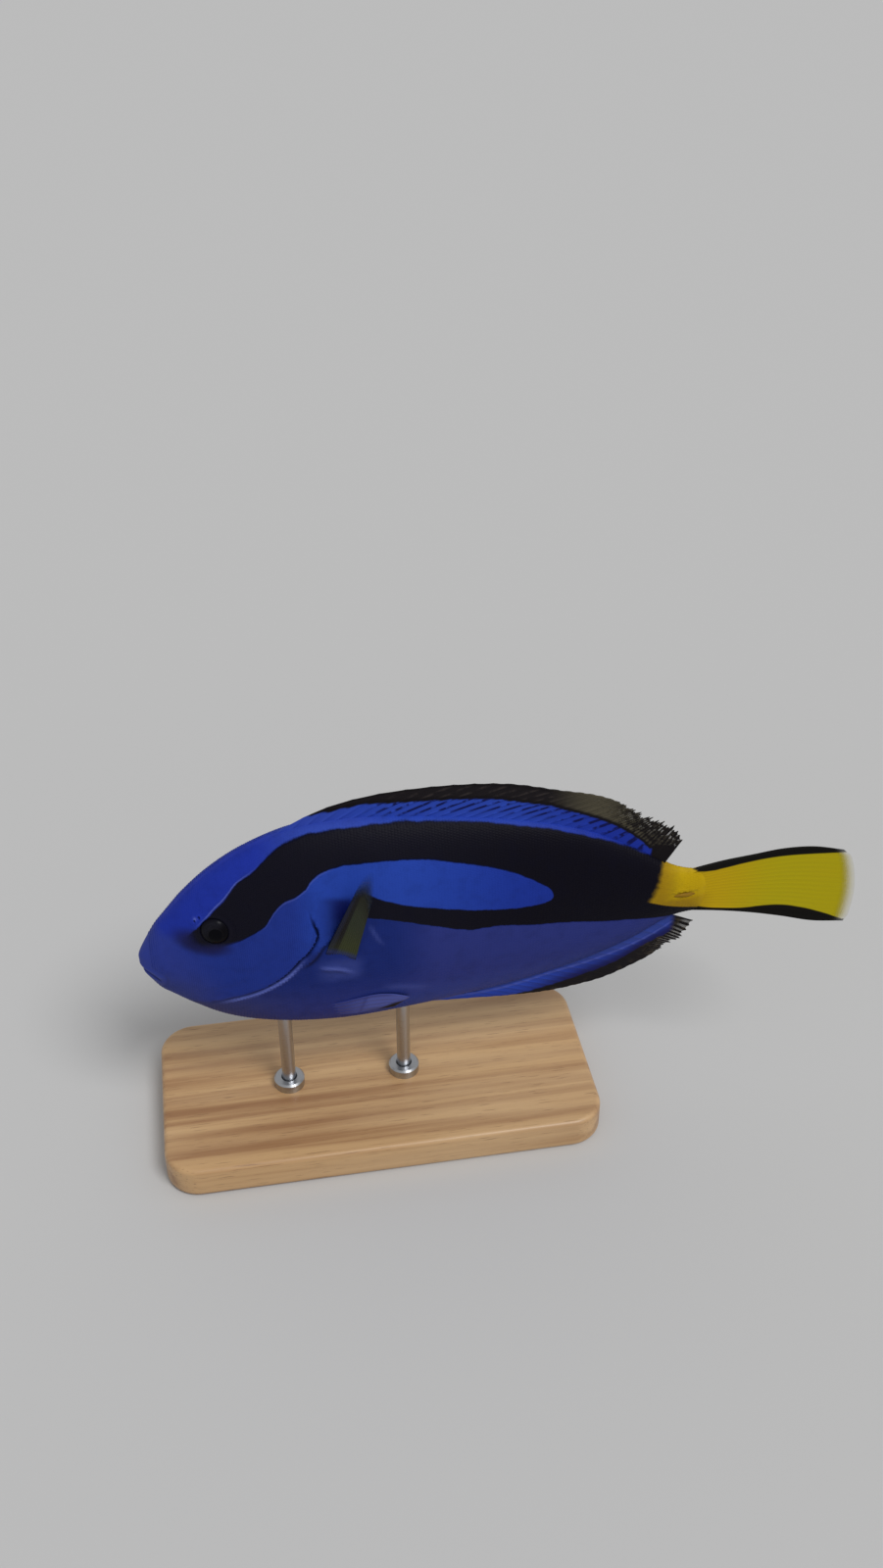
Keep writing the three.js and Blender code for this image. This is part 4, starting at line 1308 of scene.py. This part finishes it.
tail = Finish("tail_fin", Roughness=0.5, Specular_IOR_Level=0.09)
place, at, up, _ = tail.read("place")
_, _, out, ray = tail.read("fin")
blotches = tail.noise(tail.stretch(place, 12, 60, 12), 1, 3)
ray_lines = ray_gap(ray).rise(0.25, 0.05) * out.rise(0.1, 0.3)
strip = 1 - up.under(tail.line(at, YELLOW_TOP), EDGE) * up.over(tail.line(at, YELLOW_FOOT), EDGE)
paint = tail.coats(
    paint_tail(tail, TAIL_BLACK, at, up, place),
    (ray_lines * 0.05 + blotches.rise(0.5, 0.75) * 0.12, TAIL_ORANGE),
    (strip, TAIL_BLACK),
)
tail.feed("Base Color", paint)
tail.feed("Alpha", 1 - out.rise(0.9, 1.0) * (0.9 - strip * 0.5))
grain(tail, place, 60, 900, 60)
fin_piece(
    "fin_caudal", tail, "tail", "fin_caudal",
    TAIL_RAYS, TAIL_RAY_STEPS, TAIL_OUTWARD_STEPS, lay_tail, tail_thickness,
)  # fmt: skip

# %% [markdown]
# ### The pectoral fins
#
# Surgeonfish row with their pectoral fins. The left one is caught at the top of its stroke, edge on to the
# camera, so that it shows as a narrow olive strip with a dark leading ray and painted shade along its front
# edge. The right one is swept back.

# %% Pectoral fins
PECTORAL_RAYS = 13
PECTORAL_RAY_STEPS = 10
PECTORAL_OUTWARD_STEPS = 30
PECTORAL_TOP, PECTORAL_END = (0.312, -0.008), (0.362, -0.03)
PECTORAL_SUNK = 0.45 * MM
PECTORAL_SCALLOPS = 0.02
PECTORAL_LENGTHS = [(0, 32.5), (0.15, 35), (0.4, 36.5), (0.65, 35), (0.85, 31.5), (1, 27)]
PECTORAL_WAYS = {
    "left": ((0.31, -0.24, 0.94), (0.17, -0.24, 0.94)),
    "right": ((0.86, 0.4, 0.2), (0.8, 0.45, -0.45)),
}
OLIVE_BASE = srgb(54, 61, 32)
OLIVE_MIDDLE = srgb(43, 51, 36)
OLIVE_TIP = srgb(30, 33, 22)
OLIVE_RAY = srgb(24, 28, 16)
LEADING_SHADE_BLUE = srgb(16, 22, 46)
LEADING_BLACK = srgb(8, 9, 15)
TIP_BLUE = srgb(25, 38, 54)


def lay_pectoral(side, lead, trail):
    def on_flank(at, up):
        right = side * (flank_at(at, up * STANDARD_LENGTH) - PECTORAL_SUNK)
        return np.array([at * STANDARD_LENGTH, right, up * STANDARD_LENGTH])

    top, end = on_flank(*PECTORAL_TOP), on_flank(*PECTORAL_END)
    lead, trail = np.array(lead), np.array(trail)
    flat = unit(np.cross(end - top, lead))

    def lay(over, out):
        way = unit(lead + (trail - lead) * over[:, None])
        long = smooth_at(PECTORAL_LENGTHS, 1, over) * MM * margin(over, PECTORAL_RAYS, PECTORAL_SCALLOPS)
        return top + (end - top) * over[:, None] + way * (long * out)[:, None], flat

    return lay


def pectoral_thickness(over, out):
    lead = 0.35 * MM * rise(over, 0.2, 0.1) * (1 - out)
    return lead + fin_thickness(over, out, PECTORAL_RAYS, root=0.7, fade=3, ray=0.3, taper=0.7)


pectoral = Finish("pectoral_fin", Roughness=0.5, Specular_IOR_Level=0.2)
_, over, out, ray = pectoral.read("fin")
# The dark leading part: black over a dark ray a little behind the front edge, and dark blue painted shade
# along the front edge itself, weaker near the root.
leading_ray_and_shade = over.rise(0.38, 0.28) * (0.6 + out.rise(0.02, 0.3) * 0.4)
paint = pectoral.coats(
    OLIVE_BASE,
    (out.rise(0.1, 0.45), OLIVE_MIDDLE),
    (out.rise(0.48, 0.72), OLIVE_TIP),
    (ray_gap(ray).rise(0.22, 0.08) * 0.2, OLIVE_RAY),
    (leading_ray_and_shade, pectoral.mix(over.rise(0.22, 0.08), LEADING_BLACK, LEADING_SHADE_BLUE)),
    (out.rise(0.7, 0.86), TIP_BLUE),
    (out.rise(0.1, 0.03) * 0.6, SHOULDER_BLUE),
)
pectoral.feed("Base Color", paint)
pectoral.feed("Alpha", 1 - out.rise(0.66, 1.0) * 0.95)
for name, side in SIDES.items():
    piece = f"fin_pectoral_{name}"
    lay = lay_pectoral(side, *PECTORAL_WAYS[name])
    fin_piece(
        piece, pectoral, "pectoral_fin", piece,
        PECTORAL_RAYS, PECTORAL_RAY_STEPS, PECTORAL_OUTWARD_STEPS, lay, pectoral_thickness,
    )  # fmt: skip

# %% [markdown]
# ### The pelvic fins
#
# They lie folded back along the lower flanks, close to the skin.

# %% Pelvic fins
PELVIC_RAYS = 4
PELVIC_RAY_STEPS = 12
PELVIC_OUTWARD_STEPS = 30
PELVIC_BOW = 0.02
PELVIC_FORE = ((0.312, -0.144), (0.457, -0.152))
PELVIC_HIND = ((0.325, -0.189), (0.43, -0.178))
PELVIC_SUNK = 0.6 * MM  # at its root
PELVIC_RISE = 1.35 * MM


def lay_pelvic(side):
    def lay(over, out):
        fore, hind = np.array(PELVIC_FORE), np.array(PELVIC_HIND)
        first = fore[0] + (fore[1] - fore[0]) * out[:, None]
        final = hind[0] + (hind[1] - hind[0]) * out[:, None]
        at, up = (first + (final - first) * over[:, None]).T
        up = up + PELVIC_BOW * np.sin(math.pi * out**1.4) * (1 - over)
        above = up * STANDARD_LENGTH
        right = side * (flank_at(at, above) - PELVIC_SUNK + PELVIC_RISE * np.sqrt(out))
        return np.stack([at * STANDARD_LENGTH, right, above], axis=-1), UPRIGHT

    return lay


def pelvic_thickness(over, out):
    return fin_thickness(over, out, PELVIC_RAYS, spines=1, film=0.3, ray=0.35)


pelvic = Finish("pelvic_fin", Roughness=0.5, Specular_IOR_Level=0.2)
_, over, out, ray = pelvic.read("fin")
paint = pelvic.coats(
    BELLY_BLUE,
    # Paler towards the tip: a painted highlight on the folded fin.
    (0.06 + out.rise(0.12, 0.42) * 0.22 + out.rise(0.42, 0.56) * 0.14, PALE_BLUE),
    (ray_gap(ray).rise(0.34, 0.08) * 0.1, LINE_BLACK),
    # Painted shade in the fold across the fin.
    (near_line(out + over * 0.06 - 0.47, 0.04) * 0.3, SHADE_BLUE),
    (over.rise(0.7, 1.0) * out.rise(0.4, 0.6) * 0.5, LINE_BLACK),
    ((out + over * 0.4).rise(1.06, 1.2), DEEP_BLACK),
    (over.rise(0.25, 0.02) * out.rise(0.85, 0.7) * 0.7, BELLY_BLUE),
)
pelvic.feed("Base Color", paint)
for name, side in SIDES.items():
    piece = f"fin_pelvic_{name}"
    fin_piece(
        piece, pelvic, "blue_fin", piece,
        PELVIC_RAYS, PELVIC_RAY_STEPS, PELVIC_OUTWARD_STEPS, lay_pelvic(side), pelvic_thickness,
    )  # fmt: skip

# %% [markdown]
# ## The eyes
#
# The eye is a flattened ball that lies in its socket. It has a black pupil, a thin pale ring, and a dark
# iris with a painted highlight on its upper part. The ball is turned to lie in the head's surface, and each
# of its vertices carries its place on the eye's own disc, so that the rings stay round.

# %% Eye finish
IRIS_BLACK = srgb(9, 8, 13)
IRIS_HIGHLIGHT = srgb(26, 26, 34)
IRIS_FIBRE = srgb(7, 6, 9)
PALE_RING = srgb(30, 28, 26)
PUPIL_BLACK = srgb(6, 6, 11)
RIM_BLACK = srgb(14, 13, 22)

eye = Finish("eye", Roughness=0.3, Specular_IOR_Level=0.03, Coat_Weight=0.04, Coat_Roughness=0.03)
_, disc_x, disc_y, _ = eye.read("disc")
from_middle = (disc_x * disc_x + disc_y * disc_y) ** 0.5
fibres = eye.noise(eye.object_place(), 2600, 3)
paint = eye.coats(
    IRIS_BLACK,
    # A painted highlight on the upper front of the iris.
    ((disc_y - disc_x * 0.8).rise(-0.2, 0.9), IRIS_HIGHLIGHT),
    (fibres.rise(0.4, 0.7) * 0.4, IRIS_FIBRE),
    (near_line(from_middle - 0.5, 0.05) * 0.2, PALE_RING),
    (from_middle.rise(0.48, 0.43), PUPIL_BLACK),
    (from_middle.rise(0.8, 0.97), RIM_BLACK),
)
eye.feed("Base Color", paint)


# %% Eyes
EYE_MESH = {"u_segments": 64, "v_segments": 40}
EYE_STEP = 0.01  # to its neighbours, from which the eye takes its slope


def eye_frame(side):
    """The eye's middle and the direction that it looks in, on the straight fish."""
    up = EYE_UP * STANDARD_LENGTH
    along = flank_at(EYE_AT + EYE_STEP, up) - flank_at(EYE_AT - EYE_STEP, up)
    rising = flank_at(EYE_AT, up + MM) - flank_at(EYE_AT, up - MM)
    slopes = -along / (2 * EYE_STEP * STANDARD_LENGTH), side, -rising / (2 * MM)
    outward = Vector(slopes).normalized()
    middle = Vector((EYE_AT * STANDARD_LENGTH, side * flank_at(EYE_AT, up), up)) - outward * EYE_SUNK
    return middle, outward


for name, side in SIDES.items():
    middle, outward = eye_frame(side)
    turned = Vector((0, 0, 1)).rotation_difference(outward).to_matrix()
    bm = bmesh.new()
    bmesh.ops.create_uvsphere(bm, radius=1, **EYE_MESH)
    bmesh.ops.scale(bm, verts=bm.verts[:], vec=(EYE_RADIUS, EYE_RADIUS, EYE_DEPTH))
    bmesh.ops.rotate(bm, verts=bm.verts[:], matrix=turned)
    bmesh.ops.translate(bm, verts=bm.verts[:], vec=middle)
    straight = np.array([v.co for v in bm.verts])
    disc = (straight - np.array(middle))[:, [0, 2, 1]] / EYE_RADIUS
    place_vertices(bm, posed(*straight.T))
    piece = finish_piece(f"eye_{name}", bm, eye.material, "eye", f"eye_{name}")
    write_attribute(piece, "disc", disc)

# %% [markdown]
# ## The tail's blades
#
# A surgeonfish is named for the blade that each side of its tail's root carries. It lies folded forward
# in its groove and is bony and smooth.

# %% Blades
BLADE_AT = (0.928, 0.978)
BLADE_HIGH = 1.6 * MM
BLADE_THICK = 1.6 * MM
BLADE_PROUD = 0.3 * MM
BLADE_TIP = 0.3  # how much of the blade is left at its front end
BLADE_SEGMENTS = 32
BONE_YELLOW = srgb(146, 110, 15)
BONE_OCHRE = srgb(124, 91, 13)

spine = Finish("spine", Roughness=0.5, Specular_IOR_Level=0.15)
fibres = spine.noise(spine.stretch(spine.object_place(), 300, 1500, 1500), 1, 3)
spine.feed("Base Color", spine.mix(fibres.rise(0.3, 0.7), BONE_YELLOW, BONE_OCHRE))
for name, side in SIDES.items():
    bm = bmesh.new()
    bmesh.ops.create_uvsphere(bm, u_segments=BLADE_SEGMENTS, v_segments=BLADE_SEGMENTS, radius=1)
    ball = np.array([v.co for v in bm.verts])
    along = (ball[:, 2] + 1) / 2
    at = BLADE_AT[0] + (BLADE_AT[1] - BLADE_AT[0]) * along
    heft = np.minimum(1, BLADE_TIP + along) / 2
    right = side * (flank_at(at, 0) + BLADE_PROUD - BLADE_THICK / 2) + ball[:, 0] * BLADE_THICK * heft
    place_vertices(bm, posed(at * STANDARD_LENGTH, right, ball[:, 1] * BLADE_HIGH * heft))
    bmesh.ops.recalc_face_normals(bm, faces=bm.faces[:])
    finish_piece(f"tail_blade_{name}", bm, spine.material, "spine", f"tail_blade_{name}")

# %% [markdown]
# ## The stand
#
# A swimming fish needs something to hold it, so two thin steel rods rise from a flat wooden base. The base
# is a block whose upright corners are rounded first, and its long edges after that.

# %% Wood and steel
WOOD_PALE = srgb(214, 182, 140)
WOOD_LIGHT = srgb(196, 158, 112)
WOOD_DARK = srgb(150, 108, 70)
WOOD_PORE = srgb(104, 70, 44)
STEEL_GREY = srgb(178, 180, 184)

wood = Finish("stand_wood", Roughness=0.42, Coat_Weight=0.15, Coat_Roughness=0.3)
place = wood.object_place()
waves = wood.noise(wood.stretch(place, 9, 60, 60), 1, 3)
rings = wood.noise(wood.stretch(place, 5, 190, 190), 1, 4, 0.6)
pores = wood.noise(wood.stretch(place, 120, 2600, 2600), 1, 2)
paint = wood.coats(
    WOOD_LIGHT,
    (rings.rise(0.35, 0.68), WOOD_DARK),
    (waves.rise(0.4, 0.7) * 0.45, WOOD_PALE),
    (pores.rise(0.6, 0.72) * 0.5, WOOD_PORE),
)
wood.feed("Base Color", paint)
wood.bump(pores, 0.05 * MM, 0.35)

steel = Finish("stand_steel", Metallic=1.0, Base_Color=STEEL_GREY)
place = steel.object_place()
brushing = steel.noise(steel.stretch(place, 300, 300, 9000), 1, 2)
steel.feed("Roughness", brushing * 0.16 + 0.22)

# %% Base
BASE_SIZE = (128 * MM, 60 * MM, 10 * MM)
BASE_CORNER = 10 * MM
BASE_EDGE = 1.5 * MM
CORNER_SEGMENTS = 16
EDGE_SEGMENTS = 5
LEVEL = 1e-6  # in metres: an edge that rises less is level
BEVEL = {"affect": "EDGES", "profile": 0.5, "material": -1}

bm = bmesh.new()
bmesh.ops.create_cube(bm, size=1)
bmesh.ops.scale(bm, verts=bm.verts[:], vec=BASE_SIZE)
bmesh.ops.translate(bm, verts=bm.verts[:], vec=(0, 0, BASE_SIZE[2] / 2))
uprights = [e for e in bm.edges if abs(e.verts[0].co.z - e.verts[1].co.z) > BASE_EDGE]
bmesh.ops.bevel(bm, geom=uprights, offset=BASE_CORNER, segments=CORNER_SEGMENTS, **BEVEL)
rims = [e for e in bm.edges if abs(e.verts[0].co.z - e.verts[1].co.z) < LEVEL]
bmesh.ops.bevel(bm, geom=rims, offset=BASE_EDGE, segments=EDGE_SEGMENTS, **BEVEL)
finish_piece("stand_base", bm, wood.material, "stand_wood", "stand_base")


# %% Rods and collars
ROD_RADIUS = 2 * MM
ROD_PLACES = {"front": 0.236, "rear": 0.452}
ROD_BURIED = 2 * MM  # at either end
COLLAR_RADIUS = 4.5 * MM
COLLAR_HEIGHT = 3 * MM
COLLAR_LIP = 0.5 * MM
COLLAR_GAP = 0.15 * MM
ROUND_STEPS = 48
DOUBLES = 1e-7  # in metres: vertices that lie closer are one


def lathe(profile, x):
    """A round piece on an upright axis, from (radius, height) pairs."""
    bm = bmesh.new()
    points = [bm.verts.new((x + radius, 0, height)) for radius, height in profile]
    edges = [bm.edges.new(pair) for pair in zip(points, points[1:])]
    turn = {"cent": (x, 0, 0), "axis": (0, 0, 1), "angle": 2 * math.pi, "steps": ROUND_STEPS}
    bmesh.ops.spin(bm, geom=points + edges, use_merge=True, **turn)
    bmesh.ops.remove_doubles(bm, verts=bm.verts[:], dist=DOUBLES)
    bmesh.ops.recalc_face_normals(bm, faces=bm.faces[:])
    return bm


for name, at in ROD_PLACES.items():
    x = SNOUT_X + at * STANDARD_LENGTH
    foot = BASE_SIZE[2]
    head = AXIS_HEIGHT + float(belly_at(at)) + ROD_BURIED
    end = foot - ROD_BURIED
    rod = [(0, end), (ROD_RADIUS, end), (ROD_RADIUS, head), (0, head)]
    top, hole = foot + COLLAR_HEIGHT, ROD_RADIUS + COLLAR_GAP
    collar = [
        (hole, foot), (COLLAR_RADIUS, foot), (COLLAR_RADIUS, top - COLLAR_LIP),
        (COLLAR_RADIUS - COLLAR_LIP, top), (hole + COLLAR_LIP / 2, top), (hole, top - COLLAR_LIP / 2),
        (hole, foot),
    ]  # fmt: skip
    for piece, profile in {f"stand_rod_{name}": rod, f"stand_collar_{name}": collar}.items():
        finish_piece(piece, lathe(profile, x), steel.material, "stand_steel", piece, smooth=False)

# %% [markdown]
# ## Floor and light
#
# The floor is plain and pale, and runs to the horizon. Its brightness and the sky's are chosen equal, so
# that no line parts them: a floor that returns a share of the light is as bright as the sky when the sun
# adds the rest. The sun is broad and soft and stands high on the left flank's side, towards the tail, because
# the photograph's back and forehead are the lightest and the shadow falls behind the fish.

# %% Floor
FLOOR_REACH = 40  # metres
FLOOR_SHARE = 0.55

floor_grey = (FLOOR_SHARE, FLOOR_SHARE, FLOOR_SHARE, 1)
floor_finish = Finish("floor", Roughness=1.0, Specular_IOR_Level=0.0, Base_Color=floor_grey)
bm = bmesh.new()
bmesh.ops.create_grid(bm, x_segments=1, y_segments=1, size=FLOOR_REACH)
floor_mesh = bpy.data.meshes.new("floor")
bm.to_mesh(floor_mesh)
bm.free()
floor_mesh.materials.append(floor_finish.material)
floor = bpy.data.objects.new("floor", floor_mesh)
bpy.context.scene.collection.objects.link(floor)
print("floor returns", FLOOR_SHARE, "of the light")

# %% Light
SKY = 0.5
SUN_WAY = (0.32, -0.5, 0.82)  # from the fish to the sun
SUN_BREADTH = math.radians(24)

lamp = bpy.data.lights.new("sun", "SUN")
lamp.angle = SUN_BREADTH
steepness = SUN_WAY[2] / math.hypot(*SUN_WAY)
lamp.energy = math.pi * SKY * (1 / FLOOR_SHARE - 1) / steepness
sun = bpy.data.objects.new("sun", lamp)
sun.rotation_euler = Vector(SUN_WAY).to_track_quat("Z", "Y").to_euler()
bpy.context.scene.collection.objects.link(sun)

world = bpy.data.worlds.new("studio")
world.use_nodes = True
sky = world.node_tree.nodes["Background"]
sky.inputs["Color"].default_value = (1, 1, 1, 1)
sky.inputs["Strength"].default_value = SKY
bpy.context.scene.world = world
bpy.context.scene.view_settings.view_transform = "Standard"
print("sun", round(lamp.energy, 2))
